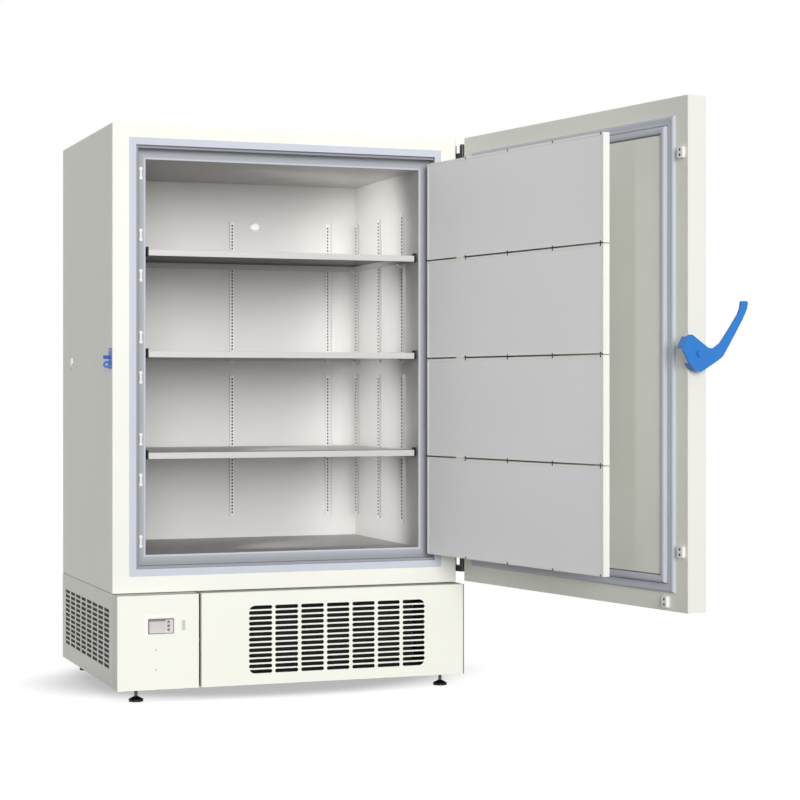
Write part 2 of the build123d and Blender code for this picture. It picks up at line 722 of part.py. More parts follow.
with BuildPart() as door_insulation:
    extrude(door_core(opened), amount=core_height)
    elevation(*tray_core, panel_back, tray_top - SHEET, place=opened)
save(door_insulation.part, "door_insulation")

with BuildPart() as door_inner_panel:
    elevation(*door_window(0), panel_back, door_back, place=opened)
    elevation(*tray_window, door_back, tray_top, place=opened, radius=TRAY_EDGE)
    elevation(*tray_core, panel_back, tray_top - SHEET, place=opened, mode=Mode.SUBTRACT)
save(door_inner_panel.part, "door_inner_panel")

with BuildPart() as door_gasket:
    elevation(*door_window(GASKET_INSET), door_back, door_back + gasket_rise, place=opened, radius=TRAY_EDGE)
    elevation(*door_window(BEAD_INSET), door_back, door_back + BEAD_RISE, place=opened, radius=TRAY_EDGE)
    inner_inset = BEAD_INSET + BEAD_WIDTH
    elevation(*door_window(inner_inset), door_back, door_back + BEAD_RISE, place=opened, mode=Mode.SUBTRACT)
    groove_outer = door_window(GASKET_INSET + GASKET_WIDTH)
    with BuildSketch(opened(Plane.XZ.offset(-(door_back + gasket_rise)))) as groove:
        with Locations((mid_x, (door_low + door_high) / 2)):
            Rectangle(groove_outer[0][1] - groove_outer[0][0], groove_outer[1][1] - groove_outer[1][0])
            bead_outer = door_window(BEAD_INSET)
            Rectangle(
                bead_outer[0][1] - bead_outer[0][0], bead_outer[1][1] - bead_outer[1][0], mode=Mode.SUBTRACT
            )
    extrude(amount=gasket_rise - SHEET, mode=Mode.SUBTRACT)
save(door_gasket.part, "door_gasket")

with BuildPart() as door_stop_blocks:
    for inset, height in (
        (STOP_INSET, top_z - STOP_FROM_TOP),
        (STOP_INSET, deck_z + STOP_FROM_BOTTOM),
        (LOW_STOP_INSET, deck_z + LOW_STOP_FROM_BOTTOM),
    ):
        block_x = (left_x + inset - STOP_WIDTH / 2, left_x + inset + STOP_WIDTH / 2)
        block_z = (height - STOP_HEIGHT / 2, height + STOP_HEIGHT / 2)
        block_top = front_y - SEAT_GAP
        elevation(block_x, block_z, door_back, block_top, place=opened, radius=STOP_CORNER)
save(door_stop_blocks.part, "door_stop_blocks")

# Handle: bracket with its stud on the door's free edge, then the lever with its hook flange
with BuildPart() as handle_bracket:
    with BuildSketch(opened(Plane.YZ.offset(left_x))):
        plate_z = handle_z + (HANDLE_PLATE_ABOVE - HANDLE_PLATE_BELOW) / 2
        with Locations(((door_front + door_back) / 2, plate_z)):
            RectangleRounded(HANDLE_PLATE_DEPTH, HANDLE_PLATE_ABOVE + HANDLE_PLATE_BELOW, LEVER_CORNER)
    extrude(amount=-HANDLE_PLATE_SHEET)
    for radius, near, far in (
        (HANDLE_BOSS, HANDLE_PLATE_SHEET, HANDLE_STANDOFF),
        (HANDLE_STUD, HANDLE_STANDOFF, stud_end),
        (HANDLE_HEAD, stud_end - HANDLE_HEAD_THICKNESS, stud_end),
    ):
        with BuildSketch(opened(Plane.YZ.offset(left_x - near))):
            with Locations((pivot_y, handle_z)):
                Circle(radius)
        extrude(amount=near - far)
save(handle_bracket.part, "handle_bracket")

lever_points = [Vector(pivot_y - reach, handle_z + rise) for reach, rise in LEVER_OUTLINE]

with BuildPart() as handle_lever:
    with BuildSketch(opened(Plane.YZ.offset(left_x - lever_face))) as lever_face_plan:
        with BuildLine():
            Polyline(lever_points, close=True)
        make_face()
        fillet(lever_face_plan.vertices(), LEVER_CORNER)
        with Locations((pivot_y, handle_z)):
            Circle(HANDLE_STUD + RUNNING_GAP, mode=Mode.SUBTRACT)
    extrude(amount=-LEVER_THICKNESS)
    for first, last in LEVER_FOLDS:
        fold_run = (lever_points[last] - lever_points[first]).normalized()
        fold_inward = Vector(-fold_run.Y, fold_run.X) * LEVER_FLANGE_SHEET
        fold_start = lever_points[first] + fold_run * LEVER_CORNER
        fold_end = lever_points[last] - fold_run * LEVER_CORNER
        with BuildSketch(opened(Plane.YZ.offset(left_x - lever_face))):
            with BuildLine():
                Polyline(fold_start, fold_end, fold_end + fold_inward, fold_start + fold_inward, close=True)
            make_face()
        extrude(amount=LEVER_FLANGE_DEPTH)
save(handle_lever.part, "handle_lever")

# Strike on the cabinet's left side: plate, pin and padlock eye
pin_y = pivot_y + STRIKE_FROM_PIVOT
eye_x = left_x - STRIKE_REACH + EYE_WIDTH / 2
eye_z = handle_z - EYE_DROP

with BuildPart() as strike:
    plate_height = STRIKE_ABOVE_PIN + STRIKE_BELOW_PIN
    plate_mid_z = handle_z + (STRIKE_ABOVE_PIN - STRIKE_BELOW_PIN) / 2
    with BuildSketch(Plane.YZ.offset(left_x)):
        with Locations((front_y + CABINET_EDGE + STRIKE_DEPTH / 2, plate_mid_z)):
            RectangleRounded(STRIKE_DEPTH, plate_height, LEVER_CORNER)
    extrude(amount=-STRIKE_SHEET)
    with BuildSketch(Plane.YZ.offset(left_x)):
        with Locations((pin_y, handle_z)):
            Circle(STRIKE_PIN)
    extrude(amount=-STRIKE_REACH)
    with BuildSketch(Plane.XZ.offset(-pin_y)):
        with Locations((eye_x, eye_z)):
            Circle(EYE_WIDTH / 2)
        with Locations(((eye_x + left_x) / 2, eye_z)):
            Rectangle(left_x - eye_x, EYE_WIDTH)
        with Locations((eye_x, eye_z)):
            Circle(EYE_RADIUS, mode=Mode.SUBTRACT)
    extrude(amount=EYE_SHEET / 2, both=True)
save(strike.part, "strike")

# Base frame: pan with a skirt, angle posts, deck, and the rails that the cabinet stands on
pan_x = (left_x + SHEET, right_x - SHEET)
pan_y = (pan_front, back_y - SHEET)
foot_spots = [
    (x, y)
    for y in (base_front + FOOT_FROM_FRONT, back_y - FOOT_FROM_BACK)
    for x in (left_x + FOOT_INSET_X, right_x - FOOT_INSET_X)
]
caster_spots = [
    (x, y)
    for y in (base_front + CASTER_FROM_FRONT, back_y - CASTER_FROM_BACK)
    for x in (left_x + CASTER_INSET_X, right_x - CASTER_INSET_X)
]
lug_heights = (pan_top, panel_high - GRILLE_LUG_TOP_DROP)

with BuildPart() as base_frame:
    plan(pan_x, pan_y, panel_low + SHEET, pan_top)
    skirt_x = (pan_x[0] + PAN_SHEET, pan_x[1] - PAN_SHEET)
    skirt_y = (pan_y[0] + PAN_SHEET, pan_y[1] - PAN_SHEET)
    plan(skirt_x, skirt_y, panel_low + SHEET, PAN_FLOOR, mode=Mode.SUBTRACT)
    for post_y, toward_y in ((front_y, 1), (pan_y[1], -1)):
        for post_x, toward_x in ((pan_x[0], 1), (pan_x[1], -1)):
            for wide_x, wide_y in ((POST_WIDTH, PAN_SHEET), (PAN_SHEET, POST_WIDTH)):
                leg_x = sorted((post_x, post_x + toward_x * wide_x))
                leg_y = sorted((post_y, post_y + toward_y * wide_y))
                plan(leg_x, leg_y, pan_top, deck_low)
    plan(pan_x, (front_y, pan_y[1]), deck_low, panel_high)
    plan((grille_left, pan_x[1]), (pan_front, front_y), deck_low, panel_high)
    for rail_low in (left_x + RAIL_INSET, right_x - RAIL_INSET - RAIL_WIDTH):
        rail_y = (front_y + RAIL_INSET, back_y - RAIL_INSET)
        plan((rail_low, rail_low + RAIL_WIDTH), rail_y, panel_high, deck_z)
    tab_x = (grille_pivot_x - GRILLE_LUG + SHEET, grille_pivot_x + GRILLE_LUG - SHEET)
    plan(tab_x, (grille_pivot_y, front_y), pan_top - GRILLE_LUG_SHEET, pan_top)
    top_tab = lug_heights[1] - GRILLE_LUG_SHEET
    plan(tab_x, (grille_pivot_y, front_y + PAN_SHEET), top_tab, lug_heights[1])
    for height in lug_heights:
        column(grille_pivot_x, grille_pivot_y, GRILLE_LUG, height - GRILLE_LUG_SHEET, height)
        pin_high = height + GRILLE_LUG_SHEET + SEAT_GAP
        column(grille_pivot_x, grille_pivot_y, GRILLE_PIN, height, pin_high)
    for x, y in foot_spots:
        column(x, y, FOOT_STUD + RUNNING_GAP, PAN_FLOOR, pan_top, mode=Mode.SUBTRACT)
    for x, y in caster_spots:
        column(x, y, SWIVEL_STUD + RUNNING_GAP, PAN_FLOOR, pan_top, mode=Mode.SUBTRACT)
save(base_frame.part, "base_frame")


def slot_grid(plane, centre, pitch, count, size, depth):
    """A grid of plain vent slots cut through a panel."""
    with BuildSketch(plane) as slots:
        with Locations(centre):
            with GridLocations(pitch[0], pitch[1], count[0], count[1]):
                Rectangle(*size)
    extrude(slots.sketch, amount=depth, mode=Mode.SUBTRACT)


def blunt_slot_grid(plane, centre, pitch, count, size, depth, corner):
    """A grid of blunt-ended vent slots cut through a panel, inside one outline with rounded corners."""
    half_length, half_height = size[0] / 2, size[1] / 2
    flat_length, flat_height = half_length - SLOT_END, half_height - SLOT_END
    outline = (
        (half_length, flat_height), (flat_length, half_height), (-flat_length, half_height),
        (-half_length, flat_height), (-half_length, -flat_height), (-flat_length, -half_height),
        (flat_length, -half_height), (half_length, -flat_height),
    )
    span_x = pitch[0] * (count[0] - 1) + size[0]
    span_z = pitch[1] * (count[1] - 1) + size[1]
    with BuildSketch(plane) as slots:
        with Locations(centre):
            with GridLocations(pitch[0], pitch[1], count[0], count[1]):
                Polygon(*outline)
        with Locations(centre):
            RectangleRounded(span_x, span_z, corner, mode=Mode.INTERSECT)
    extrude(slots.sketch, amount=depth, mode=Mode.SUBTRACT)


# Side and rear panels of the base
side_grille_z = deck_z - SIDE_BELOW_CABINET
side_slot = (SIDE_SLOT_LENGTH, SIDE_SLOT_HEIGHT)
side_pitch = (SIDE_PITCH_Y, SIDE_PITCH_Z)
side_columns = int((CABINET_DEPTH - 2 * SIDE_GRILLE_MARGIN) / SIDE_PITCH_Y)
side_count = (side_columns, SIDE_ROWS)

for name, face_x, inward, first_y in (
    ("base_left_panel", left_x, 1, front_y),
    ("base_right_panel", right_x, -1, pan_front),
):
    with BuildPart() as base_side_panel:
        sheet_x = sorted((face_x, face_x + inward * SHEET))
        plan(sheet_x, (first_y, back_y), panel_low + SHEET, panel_high)
        grille_plane = Plane.YZ.offset(sheet_x[0])
        slot_grid(grille_plane, (mid_y, side_grille_z), side_pitch, side_count, side_slot, SHEET)
    save(base_side_panel.part, name)

with BuildPart() as base_rear_panel:
    elevation(pan_x, (panel_low + SHEET, panel_high), back_y - SHEET, back_y)
    rear_plane = Plane.XZ.offset(-back_y)
    rear_count = (REAR_COLUMNS, REAR_ROWS)
    slot_grid(rear_plane, (mid_x, side_grille_z), side_pitch, rear_count, side_slot, SHEET)
    inlet_mid_x = right_x - INLET_FROM_RIGHT
    inlet_x = (inlet_mid_x - INLET_WIDTH / 2 + INLET_PROUD, inlet_mid_x + INLET_WIDTH / 2 - INLET_PROUD)
    inlet_z = (INLET_HEIGHT_ABOVE_FLOOR - INLET_HEIGHT / 2, INLET_HEIGHT_ABOVE_FLOOR + INLET_HEIGHT / 2)
    inlet_hole_z = (inlet_z[0] + INLET_PROUD, inlet_z[1] - INLET_PROUD)
    elevation(inlet_x, inlet_hole_z, back_y - SHEET, back_y, mode=Mode.SUBTRACT)
save(base_rear_panel.part, "base_rear_panel")

# Mains inlet in the rear panel
with BuildPart() as power_inlet:
    flange_x = (inlet_mid_x - INLET_WIDTH / 2, inlet_mid_x + INLET_WIDTH / 2)
    elevation(flange_x, inlet_z, back_y, back_y + INLET_PROUD, radius=INLET_PROUD)
    elevation(inlet_x, inlet_hole_z, back_y - INLET_BODY, back_y)
    socket_x = (inlet_x[0] + SHEET, inlet_x[1] - SHEET)
    socket_z = (inlet_hole_z[0] + SHEET, inlet_hole_z[1] - SHEET)
    elevation(socket_x, socket_z, back_y - INLET_BODY + SHEET, back_y + INLET_PROUD, mode=Mode.SUBTRACT)
save(power_inlet.part, "power_inlet")

# Control panel: shallow pan that wraps the left corner, with a cover over the base's shoulder
bezel_x = left_x + BEZEL_X
bezel_z = deck_z - BEZEL_BELOW_CABINET
control_x = (left_x, left_x + CONTROL_WIDTH)
panel_z = (panel_low, panel_high)

with BuildPart() as control_panel:
    elevation(control_x, panel_z, base_front, base_front + BASE_RETURN)
    plan((left_x, left_x + SHEET), (base_front, front_y), *panel_z)
    plan(control_x, (base_front, front_y), panel_high - SHEET, panel_high)
    front_corner = control_panel.edges().filter_by(Axis.Z).group_by(Axis.Y)[0]
    fillet(front_corner, BASE_EDGE)
    hollow_x = (control_x[0] + SHEET, control_x[1] - SHEET)
    hollow_z = (panel_z[0] + SHEET, panel_z[1] - SHEET)
    elevation(hollow_x, hollow_z, base_front + SHEET, base_front + BASE_RETURN, mode=Mode.SUBTRACT)
    body_width = BEZEL_WIDTH - 2 * BEZEL_FLANGE
    body_height = BEZEL_HEIGHT - 2 * BEZEL_FLANGE
    body_x = (bezel_x - body_width / 2, bezel_x + body_width / 2)
    body_z = (bezel_z - body_height / 2, bezel_z + body_height / 2)
    elevation(body_x, body_z, base_front, base_front + SHEET, mode=Mode.SUBTRACT)
save(control_panel.part, "control_panel")

# Display with its keypad
bezel_face = base_front - BEZEL_PROUD
pocket_face = bezel_face + BEZEL_POCKET
screen_x = bezel_x - SCREEN_OFFSET
screen_range_x = (screen_x - SCREEN_WIDTH / 2, screen_x + SCREEN_WIDTH / 2)
screen_range_z = (bezel_z - SCREEN_HEIGHT / 2, bezel_z + SCREEN_HEIGHT / 2)
screen_back = pocket_face + SCREEN_SUNK + SCREEN_THICKNESS
button_x = bezel_x + BUTTON_OFFSET
button_heights = [bezel_z + BUTTON_PITCH * (1 - index) for index in range(BUTTON_COUNT)]

with BuildPart() as display_bezel:
    flange_x = (bezel_x - BEZEL_WIDTH / 2, bezel_x + BEZEL_WIDTH / 2)
    flange_z = (bezel_z - BEZEL_HEIGHT / 2, bezel_z + BEZEL_HEIGHT / 2)
    elevation(flange_x, flange_z, bezel_face, base_front, radius=BEZEL_CORNER)
    elevation(body_x, body_z, base_front, base_front + BEZEL_BODY)
    pocket_x = (body_x[0] + BEZEL_WALL, body_x[1] - BEZEL_WALL)
    pocket_z = (body_z[0] + BEZEL_WALL, body_z[1] - BEZEL_WALL)
    elevation(pocket_x, pocket_z, bezel_face, pocket_face, mode=Mode.SUBTRACT)
    elevation(screen_range_x, screen_range_z, pocket_face, screen_back, mode=Mode.SUBTRACT)
    with BuildSketch(Plane.XZ.offset(-bezel_face)):
        with Locations([(button_x, height) for height in button_heights]):
            Circle(BUTTON_RADIUS + SEAT_GAP)
    extrude(amount=-(BEZEL_PROUD + BEZEL_BODY), mode=Mode.SUBTRACT)
save(display_bezel.part, "display_bezel")

with BuildPart() as display_screen:
    elevation(screen_range_x, screen_range_z, pocket_face + SCREEN_SUNK, screen_back)
save(display_screen.part, "display_screen")

for index, height in enumerate(button_heights):
    with BuildPart() as button:
        with BuildSketch(Plane.XZ.offset(-(pocket_face - BUTTON_PROUD))):
            with Locations((button_x, height)):
                Circle(BUTTON_RADIUS)
        extrude(amount=-(BUTTON_PROUD + BEZEL_BODY - BEZEL_POCKET))
        chamfer(button.faces().sort_by(Axis.Y)[0].edges(), BUTTON_PROUD / 2)
    save(button.part, f"button_{index + 1}")

# Hinged grille door in front of the condenser
grille_x = (grille_left, right_x)
grille_room = (grille_left + GRILLE_FROM_LEFT, right_x - GRILLE_FROM_RIGHT)
grille_mid_x = sum(grille_room) / 2
grille_columns = int((grille_room[1] - grille_room[0] + GRILLE_PITCH_X - GRILLE_SLOT_LENGTH) / GRILLE_PITCH_X)
grille_mid_z = deck_z - GRILLE_BELOW_CABINET

with BuildPart() as grille_door:
    elevation(grille_x, panel_z, base_front, base_front + BASE_RETURN)
    fillet(grille_door.edges().filter_by(Axis.Z).group_by(Axis.Y)[0], BASE_EDGE)
    hollow_x = (grille_x[0] + SHEET, grille_x[1] - SHEET)
    elevation(hollow_x, hollow_z, base_front + SHEET, base_front + BASE_RETURN, mode=Mode.SUBTRACT)
    blunt_slot_grid(
        Plane.XZ.offset(-base_front), (grille_mid_x, grille_mid_z), (GRILLE_PITCH_X, GRILLE_PITCH_Z),
        (grille_columns, GRILLE_ROWS), (GRILLE_SLOT_LENGTH, GRILLE_SLOT_HEIGHT), -SHEET, GRILLE_CORNER,
    )
    lug_x = (grille_pivot_x - GRILLE_LUG, grille_pivot_x + GRILLE_LUG)
    lug_y = (base_front + SHEET, grille_pivot_y)
    for height in lug_heights:
        notch_z = (height - GRILLE_LUG_SHEET - GRILLE_NOTCH, height + SEAT_GAP)
        plan((hollow_x[1], right_x), (base_front + BASE_EDGE, front_y), *notch_z, mode=Mode.SUBTRACT)
        lug_z = (height + SEAT_GAP, height + SEAT_GAP + GRILLE_LUG_SHEET)
        plan(lug_x, lug_y, *lug_z)
        column(grille_pivot_x, grille_pivot_y, GRILLE_LUG, *lug_z)
        column(grille_pivot_x, grille_pivot_y, GRILLE_PIN + RUNNING_GAP, *lug_z, mode=Mode.SUBTRACT)
save(grille_door.part, "grille_door")

# Condenser with fins and return bends, its filter in front and the fan behind
condenser_front = front_y + CONDENSER_FROM_FRONT
condenser_back = condenser_front + CONDENSER_DEPTH
condenser_x = (grille_room[0] + CONDENSER_INSET, grille_room[1] - CONDENSER_INSET)
condenser_width = condenser_x[1] - condenser_x[0]
condenser_z = (pan_top, pan_top + CONDENSER_HEIGHT)
fan_z = sum(condenser_z) / 2

with BuildPart() as condenser:
    elevation(condenser_x, condenser_z, condenser_front, condenser_back)
    fin_height = CONDENSER_HEIGHT - 2 * FIN_WIDTH
    fin_count = int((condenser_width - 2 * FIN_WIDTH) / FIN_PITCH)
    for face_y, into in ((condenser_front, -FIN_DEPTH), (condenser_back, FIN_DEPTH)):
        with BuildSketch(Plane.XZ.offset(-face_y)):
            with Locations((grille_mid_x, fan_z)):
                with GridLocations(FIN_PITCH, 1, fin_count, 1):
                    Rectangle(FIN_WIDTH, fin_height)
        extrude(amount=into, mode=Mode.SUBTRACT)
    bend_pitch = CONDENSER_HEIGHT / (CONDENSER_BENDS + 1)
    bend_spots = [(pan_top + bend_pitch * (index + 1)) for index in range(CONDENSER_BENDS)]
    bend_y = (condenser_front + condenser_back) / 2
    for height in bend_spots:
        bend_plane = Plane((condenser_x[1], bend_y - CONDENSER_DEPTH / 4, height), x_dir=(0, 1, 0), z_dir=(1, 0, 0))
        with BuildSketch(bend_plane):
            RegularPolygon(CONDENSER_TUBE, 6)
        revolve(axis=Axis((condenser_x[1], bend_y, height), (0, 0, 1)), revolution_arc=180)
save(condenser.part, "condenser")

with BuildPart() as air_filter:
    filter_y = (condenser_front - FILTER_THICKNESS, condenser_front)
    elevation(condenser_x, condenser_z, *filter_y)
    bay_width = (condenser_width - 2 * FILTER_BORDER - 2 * FILTER_RIB) / 3
    bay_height = CONDENSER_HEIGHT - 2 * FILTER_BORDER
    with BuildSketch(Plane.XZ.offset(-filter_y[0])):
        with Locations((grille_mid_x, fan_z)):
            with GridLocations(bay_width + FILTER_RIB, 1, 3, 1):
                Rectangle(bay_width, bay_height)
    extrude(amount=-FILTER_THICKNESS / 2, mode=Mode.SUBTRACT)
save(air_filter.part, "air_filter")

shroud_back = condenser_back + SHROUD_SHEET
blade_reach = (FAN_BLADE_TIP * sin(radians(FAN_BLADE_PITCH)) + FAN_BLADE_SHEET) / 2
fan_half = max(blade_reach, FAN_HUB_LENGTH / 2)
ring_back = shroud_back + 2 * (fan_half + FAN_SIDE_GAP)
ring_radius = hypot(FAN_RADIUS, FAN_BLADE_TIP / 2) + FAN_TIP_GAP

with BuildPart() as fan_shroud:
    elevation(condenser_x, condenser_z, condenser_back, shroud_back)
    with BuildSketch(Plane.XZ.offset(-condenser_back)):
        with Locations((grille_mid_x, fan_z)):
            Circle(ring_radius + SHROUD_RING_WALL)
    extrude(amount=condenser_back - ring_back)
    with BuildSketch(Plane.XZ.offset(-condenser_back)):
        with Locations((grille_mid_x, fan_z)):
            Circle(ring_radius)
    extrude(amount=condenser_back - ring_back, mode=Mode.SUBTRACT)
save(fan_shroud.part, "fan_shroud")

fan_y = (shroud_back + ring_back) / 2
hub_front = fan_y - FAN_HUB_LENGTH / 2

with BuildPart() as fan_motor:
    arm_plane = Plane.XZ.offset(-ring_back)
    with BuildSketch(arm_plane):
        with Locations((grille_mid_x, fan_z)):
            with PolarLocations(0, 3):
                with Locations(((ring_radius + SHROUD_RING_WALL) / 2, 0)):
                    Rectangle(ring_radius + SHROUD_RING_WALL, MOTOR_ARM_WIDTH)
    extrude(amount=-MOTOR_ARM_SHEET)
    with BuildSketch(arm_plane):
        with Locations((grille_mid_x, fan_z)):
            Circle(MOTOR_RADIUS)
    extrude(amount=-MOTOR_LENGTH)
    chamfer(fan_motor.faces().sort_by(Axis.Y)[-1].edges(), MOTOR_ARM_SHEET)
    with BuildSketch(arm_plane):
        with Locations((grille_mid_x, fan_z)):
            Circle(FAN_SHAFT)
    extrude(amount=ring_back - hub_front)
save(fan_motor.part, "fan_motor")

with BuildPart() as fan_blades:
    with BuildSketch(Plane.XZ.offset(-hub_front)):
        with Locations((grille_mid_x, fan_z)):
            Circle(FAN_HUB)
    extrude(amount=-FAN_HUB_LENGTH)
    blade_length = FAN_RADIUS - FAN_HUB / 2
    for index in range(FAN_BLADES):
        spoke = Vector(1, 0, 0).rotate(Axis.Y, 360 / FAN_BLADES * index)
        chord = Vector(0, 1, 0).rotate(Axis((0, 0, 0), spoke), 90 - FAN_BLADE_PITCH)
        root = Vector(grille_mid_x, fan_y, fan_z) + spoke * FAN_HUB / 2
        with BuildSketch(Plane(root, x_dir=spoke, z_dir=spoke.cross(chord))):
            with BuildLine():
                Polyline(
                    (0, -FAN_BLADE_ROOT / 2), (blade_length, -FAN_BLADE_TIP / 2),
                    (blade_length, FAN_BLADE_TIP / 2), (0, FAN_BLADE_ROOT / 2), close=True,
                )
            make_face()
        extrude(amount=FAN_BLADE_SHEET / 2, both=True)
    with BuildSketch(Plane.XZ.offset(-hub_front)):
        with Locations((grille_mid_x, fan_z)):
            Circle(FAN_SHAFT + RUNNING_GAP)
    extrude(amount=-FAN_HUB_LENGTH, mode=Mode.SUBTRACT)
save(fan_blades.part, "fan_blades")

# Two compressors of the cascade, on rubber-mounted plates
for name, compressor_x in (
    ("compressor_low_stage", left_x + COMPRESSOR_FROM_SIDE),
    ("compressor_high_stage", right_x - COMPRESSOR_FROM_SIDE),
):
    with BuildPart() as compressor:
        centre = (compressor_x, back_y - COMPRESSOR_FROM_BACK)
        plate_low = pan_top + COMPRESSOR_GROMMET
        with BuildSketch(Plane.XY.offset(plate_low)):
            with Locations(centre):
                RectangleRounded(COMPRESSOR_PLATE_WIDTH, COMPRESSOR_PLATE_WIDTH, COMPRESSOR_GROMMET)
        extrude(amount=COMPRESSOR_PLATE)
        grommet_step = COMPRESSOR_PLATE_WIDTH - 2 * COMPRESSOR_GROMMET_RADIUS
        with BuildSketch(Plane.XY.offset(pan_top)):
            with Locations(centre):
                with GridLocations(grommet_step, grommet_step, 2, 2):
                    Circle(COMPRESSOR_GROMMET_RADIUS)
        extrude(amount=COMPRESSOR_GROMMET)
        can_low = plate_low + COMPRESSOR_PLATE
        with BuildSketch(Plane.XY.offset(can_low)):
            with Locations(centre):
                Circle(COMPRESSOR_RADIUS)
        extrude(amount=COMPRESSOR_HEIGHT)
        chamfer(compressor.faces().sort_by(Axis.Z)[-1].edges(), COMPRESSOR_DOME)
    save(compressor.part, name)

# Electrics box behind the control panel
with BuildPart() as control_box:
    box_x = (left_x + BOX_INSET, left_x + BOX_INSET + BOX_WIDTH)
    box_y = (front_y + BOX_FROM_FRONT, front_y + BOX_FROM_FRONT + BOX_DEPTH)
    plan(box_x, box_y, pan_top, pan_top + BOX_HEIGHT)
    fillet(control_box.edges().filter_by(Axis.Z), BOX_EDGE)
save(control_box.part, "control_box")

# Levelling feet: pad, stud and nut in one, screwed through the pan
with BuildPart() as levelling_feet:
    for x, y in foot_spots:
        stud_top = pan_top + FOOT_STUD_ABOVE_PAN
        nut_low = PAN_FLOOR - FOOT_NUT_HEIGHT
        with BuildSketch(Plane((x, y, 0), x_dir=(1, 0, 0), z_dir=(0, -1, 0))):
            with BuildLine():
                Polyline(
                    (0, 0), (FOOT_RADIUS, 0), (FOOT_RADIUS, FOOT_PAD), (FOOT_STUD + SHEET, FOOT_PAD + FOOT_CONE),
                    (FOOT_STUD, FOOT_PAD + FOOT_CONE), (FOOT_STUD, stud_top), (0, stud_top), close=True,
                )
            make_face()
        revolve(axis=Axis((x, y, 0), (0, 0, 1)))
        with BuildSketch(Plane.XY.offset(nut_low)):
            with Locations((x, y)):
                RegularPolygon(FOOT_NUT, 6)
        extrude(amount=FOOT_NUT_HEIGHT)
save(levelling_feet.part, "levelling_feet")

# Swivel casters, lifted clear of the floor while the feet carry the machine
axle_z = WHEEL_LIFT + WHEEL_RADIUS
fork_half = WHEEL_WIDTH / 2 + FORK_SIDE_GAP + FORK_SHEET
fork_top = PAN_FLOOR - SEAT_GAP

for index, (x, y) in enumerate(caster_spots):
    axle_y = y + CASTER_TRAIL
    with BuildPart() as caster_fork:
        column(x, y, SWIVEL_STUD, fork_top - FORK_SHEET, pan_top + SWIVEL_STUD_ABOVE_PAN)
        plan((x - fork_half, x + fork_half), (y - FORK_CHEEK, axle_y + FORK_CHEEK), fork_top - FORK_SHEET, fork_top)
        for side in (-1, 1):
            with BuildSketch(Plane.YZ.offset(x + side * (fork_half - FORK_SHEET / 2))):
                with BuildLine():
                    Polyline(
                        (y - FORK_CHEEK, fork_top), (axle_y + FORK_CHEEK, fork_top),
                        (axle_y + AXLE_RADIUS * 2, axle_z), (axle_y, axle_z - AXLE_RADIUS * 2),
                        (axle_y - AXLE_RADIUS * 2, axle_z), close=True,
                    )
                make_face()
            extrude(amount=FORK_SHEET / 2, both=True)
        with BuildSketch(Plane.YZ.offset(x)):
            with Locations((axle_y, axle_z)):
                Circle(AXLE_RADIUS)
        extrude(amount=fork_half, both=True)
    save(caster_fork.part, f"caster_fork_{index + 1}")

    with BuildPart() as caster_wheel:
        with BuildSketch(Plane.YZ.offset(x)):
            with Locations((axle_y, axle_z)):
                Circle(WHEEL_RADIUS)
                Circle(AXLE_RADIUS + RUNNING_GAP, mode=Mode.SUBTRACT)
        extrude(amount=WHEEL_WIDTH / 2, both=True)
        rims = caster_wheel.edges().filter_by(GeomType.CIRCLE).sort_by(SortBy.RADIUS)[-2:]
        chamfer(rims, WHEEL_EDGE)
    save(caster_wheel.part, f"caster_wheel_{index + 1}")
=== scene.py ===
import json
import math

import bmesh
import bpy
from mathutils import Matrix, Vector


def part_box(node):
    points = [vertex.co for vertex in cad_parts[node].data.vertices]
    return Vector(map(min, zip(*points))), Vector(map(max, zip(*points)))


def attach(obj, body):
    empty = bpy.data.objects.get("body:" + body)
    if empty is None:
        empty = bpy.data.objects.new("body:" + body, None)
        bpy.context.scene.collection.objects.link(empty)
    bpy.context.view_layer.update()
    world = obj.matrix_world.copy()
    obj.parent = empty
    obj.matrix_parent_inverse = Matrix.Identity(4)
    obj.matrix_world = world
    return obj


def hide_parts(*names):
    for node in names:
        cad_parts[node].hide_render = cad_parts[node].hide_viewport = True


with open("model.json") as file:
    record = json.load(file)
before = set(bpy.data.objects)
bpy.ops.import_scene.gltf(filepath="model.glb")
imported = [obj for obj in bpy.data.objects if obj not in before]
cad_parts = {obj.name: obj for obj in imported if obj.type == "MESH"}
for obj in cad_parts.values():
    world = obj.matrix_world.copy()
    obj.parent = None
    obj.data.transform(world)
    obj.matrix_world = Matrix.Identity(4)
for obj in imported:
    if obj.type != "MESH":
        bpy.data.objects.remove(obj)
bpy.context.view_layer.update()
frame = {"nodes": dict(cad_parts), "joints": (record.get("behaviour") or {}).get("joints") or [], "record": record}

MM = 0.001
SHELVES = (1, 2, 3)
INNER_DOORS = (1, 2, 3, 4)

joints = {joint["name"]: joint for joint in frame["joints"]}


# Places, read from the CAD nodes

def turned(joint_name, degrees):
    """The transform of a hinge turned by an angle from the pose in which the CAD stands."""
    joint = joints[joint_name]
    pivot = Matrix.Translation(Vector(joint["pos_m"]))
    return pivot @ Matrix.Rotation(math.radians(degrees), 4, Vector(joint["axis"])) @ pivot.inverted()


